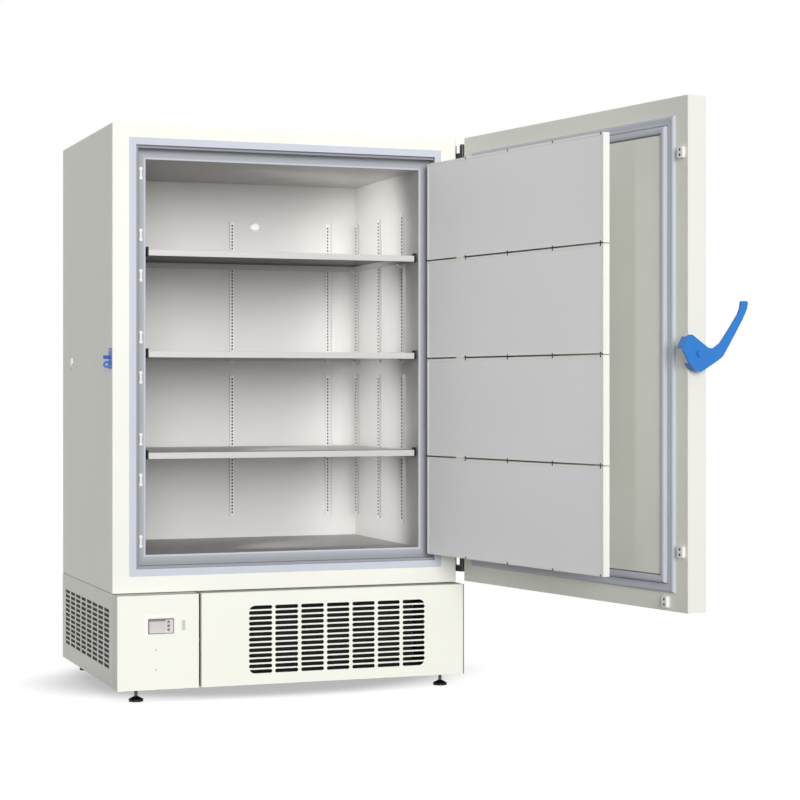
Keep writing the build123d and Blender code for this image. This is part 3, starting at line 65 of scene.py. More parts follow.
def solids(node_name, place=Matrix.Identity(4)):
    """Boxes of a node's separate solids, after a transform, as (low corner, high corner), low ones first."""
    work = bmesh.new()
    work.from_mesh(frame["nodes"][node_name].data)
    bmesh.ops.remove_doubles(work, verts=work.verts, dist=1e-6)
    unseen = set(work.verts)
    boxes = []
    while unseen:
        island = [unseen.pop()]
        for vert in island:
            for edge in vert.link_edges:
                other = edge.other_vert(vert)
                if other in unseen:
                    unseen.remove(other)
                    island.append(other)
        points = [place @ vert.co for vert in island]
        low = Vector([min(point[axis] for point in points) for axis in range(3)])
        high = Vector([max(point[axis] for point in points) for axis in range(3)])
        boxes.append((low, high))
    work.free()
    return sorted(boxes, key=lambda box: tuple(round(part, 5) for part in (box[0].z, box[0].x, box[0].y)))


def node_box(node_name):
    """The box of a whole node as two corners."""
    low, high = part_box(node_name)
    return Vector(low), Vector(high)


DOOR_OPEN = -joints["main_door_hinge"]["range_deg"][0]
INNER_OPEN = DOOR_OPEN * frame["record"]["behaviour"]["couplings"][0]["ratio"]
door_shut = turned("main_door_hinge", -DOOR_OPEN)
door_open = door_shut.inverted()
inner_shut = turned("inner_door_1_hinge", -INNER_OPEN)
inner_open = inner_shut.inverted()

shell_low, shell_high = node_box("outer_shell")
shell_mid = (shell_low + shell_high) / 2
deck_z = shell_low.z
liner_low, liner_high = node_box("liner")
front_y = node_box("control_panel")[0].y
grille_right = node_box("grille_door")[1].x
bezel_low, bezel_high = node_box("display_bezel")
screen_low, screen_high = node_box("display_screen")
breaker_front = node_box("breaker_frame")[0].y
shelf_boxes = [node_box(f"shelf_{number}") for number in SHELVES]
strike_low, strike_high = node_box("strike")
strike_y = (strike_low.y + strike_high.y) / 2


# Materials

EVEN = (1.0, 1.0, 1.0)
ALONG_X = (0.02, 1.0, 1.0)
ALONG_Z = (1.0, 1.0, 0.02)
NOISE_LOW = 0.3
NOISE_HIGH = 0.7
DRIFT_DETAIL = 3.0
GRAIN_DETAIL = 2.0
RELIEF_DEPTH = 0.4 * MM


def linear(red, green, blue):
    """An sRGB colour of 0 to 255 as linear values for a shader."""
    def channel(value):
        share = value / 255.0
        return share / 12.92 if share <= 0.04045 else ((share + 0.055) / 1.055) ** 2.4
    return (channel(red), channel(green), channel(blue), 1.0)


def shaded(colour, factor):
    """The same colour, lighter or darker."""
    return tuple(min(1.0, part * factor) for part in colour[:3]) + (1.0,)


def new_material(name):
    """A node material, with its tree and its Principled shader."""
    material = bpy.data.materials.new(name)
    material.use_nodes = True
    return material, material.node_tree, material.node_tree.nodes["Principled BSDF"]


def noise(tree, scale, stretch, detail):
    """Noise in the object's own metres, stretched along its axes."""
    place = tree.nodes.new("ShaderNodeTexCoord")
    mapping = tree.nodes.new("ShaderNodeMapping")
    mapping.inputs["Scale"].default_value = stretch
    texture = tree.nodes.new("ShaderNodeTexNoise")
    texture.inputs["Scale"].default_value = scale
    texture.inputs["Detail"].default_value = detail
    tree.links.new(place.outputs["Object"], mapping.inputs["Vector"])
    tree.links.new(mapping.outputs["Vector"], texture.inputs["Vector"])
    return texture.outputs["Fac"]


def colour_between(tree, factor, low, high):
    """A colour ramp between two colours, driven by a noise."""
    ramp = tree.nodes.new("ShaderNodeValToRGB")
    ramp.color_ramp.elements[0].position = NOISE_LOW
    ramp.color_ramp.elements[0].color = low
    ramp.color_ramp.elements[1].position = NOISE_HIGH
    ramp.color_ramp.elements[1].color = high
    tree.links.new(factor, ramp.inputs["Fac"])
    return ramp.outputs["Color"]


def value_between(tree, factor, low, high):
    """A number between two limits, driven by a noise."""
    spread = tree.nodes.new("ShaderNodeMapRange")
    spread.inputs["From Min"].default_value = NOISE_LOW
    spread.inputs["From Max"].default_value = NOISE_HIGH
    spread.inputs["To Min"].default_value = low
    spread.inputs["To Max"].default_value = high
    tree.links.new(factor, spread.inputs["Value"])
    return spread.outputs["Result"]


def surface(name, colour, roughness, metallic=0.0, vary=0.02, vary_scale=3.0, grain=0.05, grain_scale=900.0,
            stretch=EVEN, spread=0.06, coat=0.0):
    """A surface whose colour drifts a little over large areas, with a fine grain in roughness and relief."""
    material, tree, shader = new_material(name)
    shader.inputs["Metallic"].default_value = metallic
    shader.inputs["Coat Weight"].default_value = coat
    drift = noise(tree, vary_scale, EVEN, DRIFT_DETAIL)
    tint = colour_between(tree, drift, shaded(colour, 1.0 - vary), shaded(colour, 1.0 + vary))
    tree.links.new(tint, shader.inputs["Base Color"])
    fine = noise(tree, grain_scale, stretch, GRAIN_DETAIL)
    rough = value_between(tree, fine, max(0.02, roughness - spread), min(1.0, roughness + spread))
    tree.links.new(rough, shader.inputs["Roughness"])
    relief = tree.nodes.new("ShaderNodeBump")
    relief.inputs["Strength"].default_value = grain
    relief.inputs["Distance"].default_value = RELIEF_DEPTH
    tree.links.new(fine, relief.inputs["Height"])
    tree.links.new(relief.outputs["Normal"], shader.inputs["Normal"])
    return material


def painted(name, colour, roughness=0.40):
    """Powder paint on sheet metal."""
    return surface(name, colour, roughness, grain=0.06, grain_scale=700.0, vary=0.012)


def vector_step(tree, operation, source, value=None):
    """One step of vector arithmetic on a socket, with a fixed second value where the step needs one."""
    step = tree.nodes.new("ShaderNodeVectorMath")
    step.operation = operation
    tree.links.new(source, step.inputs[0])
    if value is not None:
        step.inputs[1].default_value = value
    return step.outputs["Value" if operation == "LENGTH" else "Vector"]


def number_step(tree, operation, first, second):
    """One step of arithmetic on two sockets."""
    step = tree.nodes.new("ShaderNodeMath")
    step.operation = operation
    tree.links.new(first, step.inputs[0])
    tree.links.new(second, step.inputs[1])
    return step.outputs["Value"]


def both(tree, first, second):
    """The product of two factors."""
    return number_step(tree, "MULTIPLY", first, second)


def place_length(tree, origin, weights):
    """Distance from a place of the object, with each axis weighted, in metres where the weights are 1."""
    place = tree.nodes.new("ShaderNodeTexCoord").outputs["Object"]
    offset = vector_step(tree, "SUBTRACT", place, origin)
    return vector_step(tree, "LENGTH", vector_step(tree, "MULTIPLY", offset, weights))


def beyond(tree, low, high):
    """How far a place lies outside an upright rectangle, sideways or up and down, in metres."""
    place = tree.nodes.new("ShaderNodeTexCoord").outputs["Object"]
    offset = vector_step(tree, "ABSOLUTE", vector_step(tree, "SUBTRACT", place, (low + high) / 2))
    split = tree.nodes.new("ShaderNodeSeparateXYZ")
    tree.links.new(vector_step(tree, "SUBTRACT", offset, (high - low) / 2), split.inputs["Vector"])
    return number_step(tree, "MAXIMUM", split.outputs["X"], split.outputs["Z"])


def rising(tree, value, start, end):
    """0 to 1 while a value goes from a start to an end."""
    share = tree.nodes.new("ShaderNodeMapRange")
    share.inputs["From Min"].default_value = start
    share.inputs["From Max"].default_value = end
    tree.links.new(value, share.inputs["Value"])
    return share.outputs["Result"]


def along(tree, axis):
    """One axis of the object's own place."""
    split = tree.nodes.new("ShaderNodeSeparateXYZ")
    tree.links.new(tree.nodes.new("ShaderNodeTexCoord").outputs["Object"], split.inputs["Vector"])
    return split.outputs[axis]


def looking(tree, axis, side, start=0.6, full=0.9):
    """1 on faces that look along an axis, or against it for side -1; for nodes that do not move."""
    split = tree.nodes.new("ShaderNodeSeparateXYZ")
    tree.links.new(tree.nodes.new("ShaderNodeNewGeometry").outputs["Normal"], split.inputs["Vector"])
    return rising(tree, split.outputs[axis], start * side, full * side)


def lay_over(tree, factor, colour):
    """A second colour laid over a material where a factor is 1."""
    base = tree.nodes["Principled BSDF"].inputs["Base Color"]
    blend = tree.nodes.new("ShaderNodeMix")
    blend.data_type = "RGBA"
    tree.links.new(factor, blend.inputs[0])
    tree.links.new(base.links[0].from_socket, blend.inputs[6])
    blend.inputs[7].default_value = colour
    tree.links.new(blend.outputs[2], base)


PANEL_CREAM = linear(251, 251, 240)

powder_coat = painted("powder_coat", linear(247, 247, 238), 0.42)
panel_coat = painted("panel_coat", PANEL_CREAM)
control_coat = painted("control_coat", PANEL_CREAM)
grille_coat = painted("grille_coat", PANEL_CREAM)
# The base's side panels: the left one's paint a little darker than the right one's, painted shade
left_panel_shaded = painted("left_panel_shaded", linear(236, 236, 226))
right_panel_shaded_inside = painted("right_panel_shaded_inside", linear(246, 246, 235))
door_liner = surface("door_liner", linear(234, 235, 225), 0.38, grain_scale=600.0)
stainless = surface("stainless", linear(200, 198, 196), 0.46, metallic=0.30, grain=0.015, grain_scale=300.0,
                    stretch=ALONG_X, spread=0.03, vary=0.01)
shelf_steel = surface("shelf_steel", linear(190, 188, 186), 0.44, metallic=0.30, grain=0.015, grain_scale=300.0,
                      stretch=ALONG_X, spread=0.03, vary=0.01)
standard_steel = surface("standard_steel", linear(212, 212, 211), 0.34, metallic=0.30, grain=0.02,
                         grain_scale=300.0, stretch=ALONG_Z)
slot_shade = surface("slot_shade", linear(20, 20, 20), 0.70)
breaker = surface("breaker", linear(203, 208, 220), 0.46, grain_scale=1200.0, vary=0.015)
gasket = surface("gasket", linear(196, 200, 208), 0.58, grain=0.10, grain_scale=1500.0, vary=0.03)
inner_skin = surface("inner_skin", linear(251, 251, 252), 0.40, grain=0.06, vary=0.008)
inner_edge = surface("inner_edge", linear(251, 251, 246), 0.35, grain=0.04, grain_scale=1200.0)
white_plastic = surface("white_plastic", linear(243, 243, 241), 0.36, grain=0.04, grain_scale=1500.0)
handle_blue = surface("handle_blue", linear(22, 124, 212), 0.34, grain_scale=1100.0, vary=0.04, vary_scale=14.0,
                      coat=0.25)
strike_blue = surface("strike_blue", linear(24, 92, 182), 0.36, grain_scale=1100.0, vary=0.04)
plated = surface("plated", linear(176, 178, 182), 0.30, metallic=0.9, vary=0.05, vary_scale=40.0)
dark_plated = surface("dark_plated", linear(58, 58, 60), 0.38, metallic=0.8, grain=0.06, vary=0.08, vary_scale=40.0)
frame_paint = surface("frame_paint", linear(44, 44, 46), 0.50, grain=0.06, grain_scale=700.0)
black_paint = surface("black_paint", linear(20, 20, 22), 0.45, grain_scale=600.0)
black_plastic = surface("black_plastic", linear(22, 22, 23), 0.50, grain=0.08, grain_scale=1500.0)
end_black = surface("end_black", linear(10, 10, 10), 0.75, grain=0.08, grain_scale=1500.0)
filter_mesh = surface("filter_mesh", linear(14, 14, 15), 0.85, grain=0.5, grain_scale=600.0)
aluminium = surface("aluminium", linear(186, 188, 190), 0.42, metallic=0.85, grain=0.08, grain_scale=500.0)
# Grey of the painted shadow in the display's recess
recess_shadow_grey = surface("recess_shadow_grey", linear(112, 110, 106), 0.60, grain=0.08, grain_scale=1500.0)
mat_grey = surface("mat_grey", linear(92, 92, 90), 0.90, grain=0.4, grain_scale=500.0, vary=0.10, vary_scale=30.0)
rubber = surface("rubber", linear(30, 30, 31), 0.75, grain=0.12, grain_scale=1500.0)
key_grey = surface("key_grey", linear(116, 112, 110), 0.50, grain_scale=1500.0)
foam = surface("foam", linear(232, 222, 190), 0.80, grain=0.3, grain_scale=400.0)
plate_grey = surface("plate_grey", linear(206, 206, 203), 0.45, grain=0.04, grain_scale=1500.0)
bezel_white = surface("bezel_white", linear(250, 250, 248), 0.40, grain=0.04, grain_scale=1500.0)
screen = surface("screen", linear(216, 210, 209), 0.16, grain=0.02, grain_scale=1500.0, vary_scale=30.0, coat=0.4)
foot_metal = surface("foot_metal", linear(70, 70, 71), 0.30, metallic=0.6)
cap_white = surface("cap_white", linear(250, 250, 249), 0.30, metallic=0.2, grain=0.03, grain_scale=1200.0)

# Second colours where the photograph changes tone within a part, by place or by the direction of a face
# Most of them are painted shade or painted highlights standing in for how light falls; the others are the parts'
# own colours
BORDER = 2 * MM
DECK_COLOUR_DEPTH = 7 * MM
RECESS_START, RECESS_FULL = 3 * MM, 9 * MM
LEDGE_INSIDE, LEDGE_OUTSIDE = 5 * MM, 26 * MM
POCKET_FRONT, POCKET_BACK = 3 * MM, 1 * MM
SCREEN_BAND = 7 * MM
SHELF_SHADE_START, SHELF_SHADE_FULL = 160 * MM, 100 * MM
RIGHT_STANDARD_DEPTH = 30 * MM
FOOT_PAD_HEIGHT = 17 * MM
STRIKE_PIN_RADIUS, STRIKE_PIN_RIM = 7.2 * MM, 7.8 * MM
EDGE_LINE, EDGE_LINE_BORDER = 5 * MM, 0.6 * MM

tree = frame_paint.node_tree
deck_low = deck_z - DECK_COLOUR_DEPTH
lay_over(tree, rising(tree, along(tree, "Z"), deck_low - BORDER, deck_low), linear(120, 120, 115))

tree = breaker.node_tree
# Painted shade: the recessed part of the frame darker, and darker still on the ledge towards its outer side
recess = rising(tree, along(tree, "Y"), breaker_front + RECESS_START, breaker_front + RECESS_FULL)
lay_over(tree, recess, linear(174, 177, 184))
from_liner = beyond(tree, liner_low, liner_high)
lay_over(tree, both(tree, recess, rising(tree, from_liner, LEDGE_INSIDE, LEDGE_OUTSIDE)), linear(150, 153, 159))
# Painted highlight along the ledge's edge at the chamber
lay_over(tree, rising(tree, from_liner, LEDGE_INSIDE, BORDER), linear(202, 206, 214))

tree = stainless.node_tree
# Painted shade: the chamber's ceiling a little darker than its walls, and its floor darker still
lay_over(tree, looking(tree, "Z", -1, start=0.5), linear(190, 188, 186))
lay_over(tree, looking(tree, "Z", 1, start=0.5), linear(164, 162, 160))

tree = bezel_white.node_tree
pocket = rising(tree, along(tree, "Y"), screen_low.y - POCKET_FRONT, screen_low.y - POCKET_BACK)
lay_over(tree, pocket, linear(224, 218, 215))

tree = screen.node_tree
band_low = screen_high.z - SCREEN_BAND
lay_over(tree, rising(tree, along(tree, "Z"), band_low - BORDER, band_low), linear(150, 143, 141))

tree = shelf_steel.node_tree
# Painted shade: the shelves dark on their lower faces, and near black towards their front and back edges; painted
# light: their top faces a little lighter
underside = looking(tree, "Z", -1, start=0.3, full=0.8)
lay_over(tree, underside, linear(84, 83, 81))
lay_over(tree, looking(tree, "Z", 1, start=0.5), linear(194, 192, 190))
depth = along(tree, "Y")
for edge_y, inward in ((shelf_boxes[0][0].y, 1), (shelf_boxes[0][1].y, -1)):
    band = rising(tree, depth, edge_y + SHELF_SHADE_START * inward, edge_y + SHELF_SHADE_FULL * inward)
    lay_over(tree, both(tree, underside, band), linear(16, 16, 16))

tree = standard_steel.node_tree
# Painted shade: the front faces of the standards on the chamber's right wall darker
zone_x = liner_high.x - RIGHT_STANDARD_DEPTH
at_right = rising(tree, along(tree, "X"), zone_x - BORDER, zone_x + BORDER)
lay_over(tree, both(tree, at_right, looking(tree, "Y", -1)), linear(158, 157, 155))

tree = foot_metal.node_tree
lay_over(tree, rising(tree, along(tree, "Z"), FOOT_PAD_HEIGHT + BORDER, FOOT_PAD_HEIGHT), linear(26, 26, 27))

tree = strike_blue.node_tree
strike_pin = Vector((strike_low.x, strike_y, joints["handle_turn"]["pos_m"][2]))
from_pin = place_length(tree, strike_pin, (0.0, 1.0, 1.0))
lay_over(tree, rising(tree, from_pin, STRIKE_PIN_RIM, STRIKE_PIN_RADIUS), linear(214, 215, 217))

tree = control_coat.node_tree
# Painted shade: the panel's left side darker than its front, and its top return darker still, which also holds down
# the light it throws up onto the cabinet above
lay_over(tree, looking(tree, "X", -1), linear(228, 228, 217))
lay_over(tree, looking(tree, "Z", 1), linear(165, 165, 158))

tree = grille_coat.node_tree
# Painted shadow: a dark line along the grille door's right edge, for the shaded gap beside it
line_x = grille_right - EDGE_LINE
lay_over(tree, rising(tree, along(tree, "X"), line_x, line_x + EDGE_LINE_BORDER), linear(70, 71, 67))

# Painted shade on the inner faces of the base's side panels, so that the machine space behind their slots looks
# dark
for material, inside in ((left_panel_shaded, 1), (right_panel_shaded_inside, -1)):
    tree = material.node_tree
    lay_over(tree, looking(tree, "X", inside), linear(40, 40, 41))

NODE_MATERIALS = {
    "outer_shell": powder_coat, "insulation": foam, "liner": stainless, "breaker_frame": breaker,
    "base_frame": frame_paint, "base_left_panel": left_panel_shaded, "base_right_panel": right_panel_shaded_inside,
    "base_rear_panel": panel_coat, "control_panel": control_coat, "display_bezel": bezel_white,
    "display_screen": screen, "compressor_low_stage": black_paint, "compressor_high_stage": black_paint,
    "condenser": aluminium, "fan_shroud": black_paint, "fan_motor": black_paint, "control_box": plated,
    "pilasters": standard_steel, "shelf_clips": standard_steel, "port_caps": cap_white,
    "inner_door_catches": white_plastic, "strike": strike_blue, "hinge_brackets": dark_plated,
    "inner_hinge_brackets": plated, "inner_hinge_rod": plated, "levelling_feet": foot_metal,
    "power_inlet": black_plastic, "air_filter": filter_mesh, "door_outer_panel": powder_coat,
    "door_insulation": foam, "door_inner_panel": door_liner, "door_gasket": gasket, "door_hinge_arms": dark_plated,
    "door_stop_blocks": white_plastic, "handle_bracket": handle_blue, "handle_lever": handle_blue,
    "grille_door": grille_coat, "fan_blades": black_plastic,
}
NUMBERED_MATERIALS = {
    "shelf": shelf_steel, "button": key_grey, "inner_door": inner_skin, "inner_door_trim": inner_edge,
    "caster_fork": dark_plated, "caster_wheel": rubber,
}

for node_name, node in frame["nodes"].items():
    material = NODE_MATERIALS.get(node_name) or NUMBERED_MATERIALS[node_name.rsplit("_", 1)[0]]
    node.data.materials.clear()
    node.data.materials.append(material)


# Pieces that the CAD leaves to this scene

LEFT, RIGHT = Vector((-1, 0, 0)), Vector((1, 0, 0))
FRONT, BACK = Vector((0, -1, 0)), Vector((0, 1, 0))
UP = Vector((0, 0, 1))
# Screw heads, as shares of their radius and rise
HEAD_PROFILE = ((1.0, 0.0), (0.98, 0.45), (0.82, 0.85), (0.45, 1.0))
SOCKET_PROFILE = ((0.45, 1.0), (0.38, 0.45), (0.0, 0.40))


def piece(name, body, work, materials, smooth=False):
    """A mesh object made from a bmesh, riding on a body."""
    mesh = bpy.data.meshes.new(name)
    for face in work.faces:
        face.smooth = smooth
    work.to_mesh(mesh)
    work.free()
    for material in materials:
        mesh.materials.append(material)
    obj = bpy.data.objects.new(name, mesh)
    bpy.context.scene.collection.objects.link(obj)
    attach(obj, body)
    return obj


def facing(place, normal):
    """A transform that stands a part made along +Z on a surface at a place."""
    turn = UP.rotation_difference(normal)
    return Matrix.Translation(Vector(place)) @ turn.to_matrix().to_4x4()


def lathe(work, place, profile, segments=16, material_index=0):
    """A turned form: a profile of (radius, height) points spun about the local Z axis; radius 0 closes it."""
    rings = []
    for radius, height in profile:
        if radius == 0:
            rings.append([work.verts.new(place @ Vector((0.0, 0.0, height)))])
            continue
        angles = [2 * math.pi * step / segments for step in range(segments)]
        ring = [Vector((radius * math.cos(angle), radius * math.sin(angle), height)) for angle in angles]
        rings.append([work.verts.new(place @ point) for point in ring])
    for lower, upper in zip(rings, rings[1:]):
        for step in range(segments):
            after = (step + 1) % segments
            if len(upper) == 1:
                corners = [lower[step], lower[after], upper[0]]
            else:
                corners = [lower[step], lower[after], upper[after], upper[step]]
            work.faces.new(corners).material_index = material_index


def soft_box(work, low, high, edge, place=Matrix.Identity(4), segments=2):
    """A block between two corners with rounded edges, after a transform."""
    centre = (Vector(low) + Vector(high)) / 2
    size = Vector(high) - Vector(low)
    block = bmesh.new()
    bmesh.ops.create_cube(block, size=1.0, matrix=Matrix.Translation(centre) @ Matrix.Diagonal((*size, 1.0)))
    bmesh.ops.bevel(block, geom=block.edges[:], offset=edge, segments=segments, affect="EDGES", profile=0.5)
    copies = {vert: work.verts.new(place @ vert.co) for vert in block.verts}
    for face in block.faces:
        work.faces.new([copies[vert] for vert in face.verts])
    block.free()


def screw(work, place, normal, radius=4.5 * MM, rise=2.2 * MM, turn=Matrix.Identity(4)):
    """A pan head with a dark socket; its drive recess is the second material."""
    stand = turn @ facing(place, normal)
    for profile, material_index in ((HEAD_PROFILE, 0), (SOCKET_PROFILE, 1)):
        points = [(radius * across, rise * up) for across, up in profile]
        lathe(work, stand, points, material_index=material_index)


def shares_between(start, end, shares):
    """Places at shares of the way from a start to an end."""
    return [start + (end - start) * share for share in shares]


# Shelf standards with their rows of slots, in place of the plain channels
STANDARD_PITCH = 12.5 * MM
STANDARD_SLOT_HEIGHT = 7.5 * MM
BACK_SLOT_WIDTH = 6.0 * MM
SIDE_SLOT_WIDTH = 11.5 * MM
STANDARD_SHEET = 0.6 * MM
SHADE_DEPTH = 0.9 * MM
SHADE_MARGIN = 1 * MM
BACK_WALL_DEPTH = 20 * MM
SLOT_COLUMN = 2
work = bmesh.new()
for low, high in solids("pilasters"):
    height = high.z - low.z
    if high.y > liner_high.y - BACK_WALL_DEPTH and high.x - low.x > high.y - low.y:
        origin = Vector(((low.x + high.x) / 2, low.y, low.z))
        across, out = RIGHT, FRONT
        width, depth, slot = high.x - low.x, high.y - low.y, BACK_SLOT_WIDTH
    else:
        at_left = low.x < (liner_low.x + liner_high.x) / 2
        origin = Vector((high.x if at_left else low.x, (low.y + high.y) / 2, low.z))
        across, out = (FRONT, RIGHT) if at_left else (BACK, LEFT)
        width, depth, slot = high.y - low.y, high.x - low.x, SIDE_SLOT_WIDTH
    slots = int((height - STANDARD_PITCH) / STANDARD_PITCH)
    first = (height - slots * STANDARD_PITCH) / 2
    levels = [0.0]
    for index in range(slots):
        middle = first + STANDARD_PITCH * (index + 0.5)
        levels += [middle - STANDARD_SLOT_HEIGHT / 2, middle + STANDARD_SLOT_HEIGHT / 2]
    levels.append(height)
    steps = [(-width / 2, depth), (-width / 2, 0.0), (-slot / 2, 0.0), (slot / 2, 0.0), (width / 2, 0.0),
             (width / 2, depth)]
    grid = [[work.verts.new(origin + across * step - out * back + UP * level) for step, back in steps]
            for level in levels]
    for row, (lower, upper) in enumerate(zip(grid, grid[1:])):
        for column in range(len(steps) - 1):
            if column == SLOT_COLUMN and row % 2 == 1:
                continue
            work.faces.new((lower[column], lower[column + 1], upper[column + 1], upper[column]))
    # A sheet of painted shade behind each row of slots
    half = slot / 2 + SHADE_MARGIN
    bottom, top = SHADE_MARGIN, height - SHADE_MARGIN
    strip = [origin + across * step - out * SHADE_DEPTH + UP * level
             for step, level in ((-half, bottom), (half, bottom), (half, top), (-half, top))]
    work.faces.new([work.verts.new(corner) for corner in strip]).material_index = 1
standards = piece("shelf_standards", "cabinet", work, [standard_steel, slot_shade])
thickness = standards.modifiers.new("sheet", "SOLIDIFY")
thickness.thickness = STANDARD_SHEET
thickness.offset = -1.0
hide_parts("pilasters")

# Door seal: a soft outer lip and a hollow bead, mitred at the corners, in place of the square sections.
# The profile holds (inset from the outer edge, rise from the door) in millimetres.
SEAL_PROFILE = (
    (0.0, 0.0), (0.4, 4.0), (2.0, 7.6), (5.0, 9.6), (9.0, 10.1), (13.0, 9.2), (17.0, 8.4), (21.0, 9.2), (24.5, 9.8),
    (26.6, 8.4), (27.6, 5.0), (28.6, 3.4), (29.6, 5.2), (30.3, 10.0), (30.8, 16.0), (32.2, 19.8), (35.0, 21.7),
    (39.0, 22.0), (44.0, 22.0), (48.0, 21.6), (50.8, 19.6), (52.2, 16.0), (52.8, 9.0), (53.0, 0.0),
)
seal_boxes = solids("door_gasket", door_shut)
seal_low = Vector([min(box[0][axis] for box in seal_boxes) for axis in range(3)])
seal_high = Vector([max(box[1][axis] for box in seal_boxes) for axis in range(3)])
work = bmesh.new()
loops = []
for inset, rise in SEAL_PROFILE:
    left, right = seal_low.x + inset * MM, seal_high.x - inset * MM
    bottom, top = seal_low.z + inset * MM, seal_high.z - inset * MM
    y = seal_low.y + rise * MM
    corners = [(left, y, bottom), (right, y, bottom), (right, y, top), (left, y, top)]
    loops.append([work.verts.new(door_open @ Vector(corner)) for corner in corners])
for outer, inner in zip(loops, loops[1:]):
    for side in range(4):
        after = (side + 1) % 4
        work.faces.new((outer[side], inner[side], inner[after], outer[after]))
        work.edges.get((outer[side], inner[side])).smooth = False
seal = piece("door_seal", "main_door", work, [gasket], smooth=True)
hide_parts("door_gasket")

# Screws of the cabinet and its base
SIDE_SCREW_INSET = 25 * MM
PANEL_SCREW_INSET = 16 * MM
CONTROL_SCREW_X = 133 * MM
CONTROL_SCREW_DROPS = (187 * MM, 255 * MM)
REAR_SCREW_INSET = 30 * MM
REAR_SCREW_SHARES = (0.0, 0.25, 0.5, 0.75, 1.0)
HINGE_LEAF = 4 * MM
HINGE_SCREW_DEPTH = 42 * MM
HINGE_SCREW_SHARES = (0.25, 0.75)
STRIKE_PLATE = 3 * MM
STRIKE_SCREW_INSET = 9 * MM
STRIKE_SCREW_HALF = 13 * MM
CAP_SCREW_DROP = 12 * MM
CAP_SCREW_SHIFT = 4 * MM
side_low, side_high = node_box("base_left_panel")
rear_low, rear_high = node_box("base_rear_panel")
hinge_leaves = solids("hinge_brackets")
work = bmesh.new()
bottom_row, top_row = side_low.z + PANEL_SCREW_INSET, side_high.z - PANEL_SCREW_INSET
for x, normal in ((shell_low.x, LEFT), (shell_high.x, RIGHT)):
    for z in (bottom_row, (side_low.z + side_high.z) / 2, top_row):
        screw(work, (x, shell_low.y + SIDE_SCREW_INSET, z), normal)
        screw(work, (x, shell_high.y - SIDE_SCREW_INSET, z), normal)
    for z in (bottom_row, top_row):
        screw(work, (x, shell_mid.y, z), normal)
for drop in CONTROL_SCREW_DROPS:
    screw(work, (shell_low.x + CONTROL_SCREW_X, front_y, deck_z - drop), FRONT, radius=2.6 * MM, rise=1.2 * MM)
for z in (rear_low.z + PANEL_SCREW_INSET, rear_high.z - PANEL_SCREW_INSET):
    for x in shares_between(rear_low.x + REAR_SCREW_INSET, rear_high.x - REAR_SCREW_INSET, REAR_SCREW_SHARES):
        screw(work, (x, rear_high.y, z), BACK)
for low, high in hinge_leaves:
    for z in shares_between(low.z, high.z, HINGE_SCREW_SHARES):
        screw(work, (shell_high.x + HINGE_LEAF, shell_low.y + HINGE_SCREW_DEPTH, z), RIGHT, radius=4.0 * MM)
for z in (strike_low.z + STRIKE_SCREW_INSET, strike_high.z - STRIKE_SCREW_INSET):
    for y in (strike_y - STRIKE_SCREW_HALF, strike_y + STRIKE_SCREW_HALF):
        screw(work, (strike_high.x - STRIKE_PLATE, y, z), LEFT, radius=3.4 * MM, rise=1.6 * MM)
cap_low, cap_high = [box for box in solids("port_caps") if box[0].x < shell_low.x][0]
cap_screw = (shell_low.x, (cap_low.y + cap_high.y) / 2 + CAP_SCREW_SHIFT, cap_low.z - CAP_SCREW_DROP)
screw(work, cap_screw, LEFT, radius=3.2 * MM, rise=0.8 * MM)
piece("cabinet_screws", "cabinet", work, [plated, black_plastic], smooth=True)

# Screws of the main door: stop blocks, hinge leaves and handle plate.
# Those of the stop blocks stay within the gap that the shut door leaves to the cabinet.
BLOCK_SCREW_SHARES = (0.27, 0.73)
BLOCK_SCREW_RISE = 0.2 * MM
ARM_SCREW_DEPTH = 14 * MM
HANDLE_PLATE = 4 * MM
HANDLE_SCREW_INSET = 11 * MM
HANDLE_SCREW_HEIGHT = 12 * MM
work = bmesh.new()
for low, high in solids("door_stop_blocks", door_shut):
    middle = (low + high) / 2
    if high.x - low.x > high.z - low.z:
        places = [(x, high.y, middle.z) for x in shares_between(low.x, high.x, BLOCK_SCREW_SHARES)]
    else:
        places = [(middle.x, high.y, z) for z in shares_between(low.z, high.z, BLOCK_SCREW_SHARES)]
    for place in places:
        screw(work, place, BACK, radius=4.2 * MM, rise=BLOCK_SCREW_RISE, turn=door_open)
for low, high in solids("door_hinge_arms", door_shut):
    for z in shares_between(low.z, high.z, HINGE_SCREW_SHARES):
        place = (shell_high.x + HINGE_LEAF, low.y + ARM_SCREW_DEPTH, z)
        screw(work, place, RIGHT, radius=4.0 * MM, turn=door_open)
plate_low, plate_high = solids("handle_bracket", door_shut)[0]
for y in (plate_low.y + HANDLE_SCREW_INSET, plate_high.y - HANDLE_SCREW_INSET):
    place = (shell_low.x - HANDLE_PLATE, y, plate_low.z + HANDLE_SCREW_HEIGHT)
    screw(work, place, LEFT, radius=4.0 * MM, turn=door_open)
piece("door_screws", "main_door", work, [dark_plated, black_plastic], smooth=True)

# Flange of the cap on the chamber's back wall: shares of the cap's radius, and rise in millimetres
FLANGE_PROFILE = ((1.24, 0.0), (1.23, 1.4), (1.15, 2.2), (0.96, 2.4))
wall_y = max(box[1].y for box in solids("pilasters"))
work = bmesh.new()
for low, high in solids("port_caps"):
    if low.x > shell_low.x:
        radius = (high.x - low.x) / 2
        rim = [(radius * share, rise * MM) for share, rise in FLANGE_PROFILE]
        lathe(work, facing(((low.x + high.x) / 2, wall_y, (low.z + high.z) / 2), FRONT), rim)
piece("chamber_cap_flange", "cabinet", work, [cap_white], smooth=True)

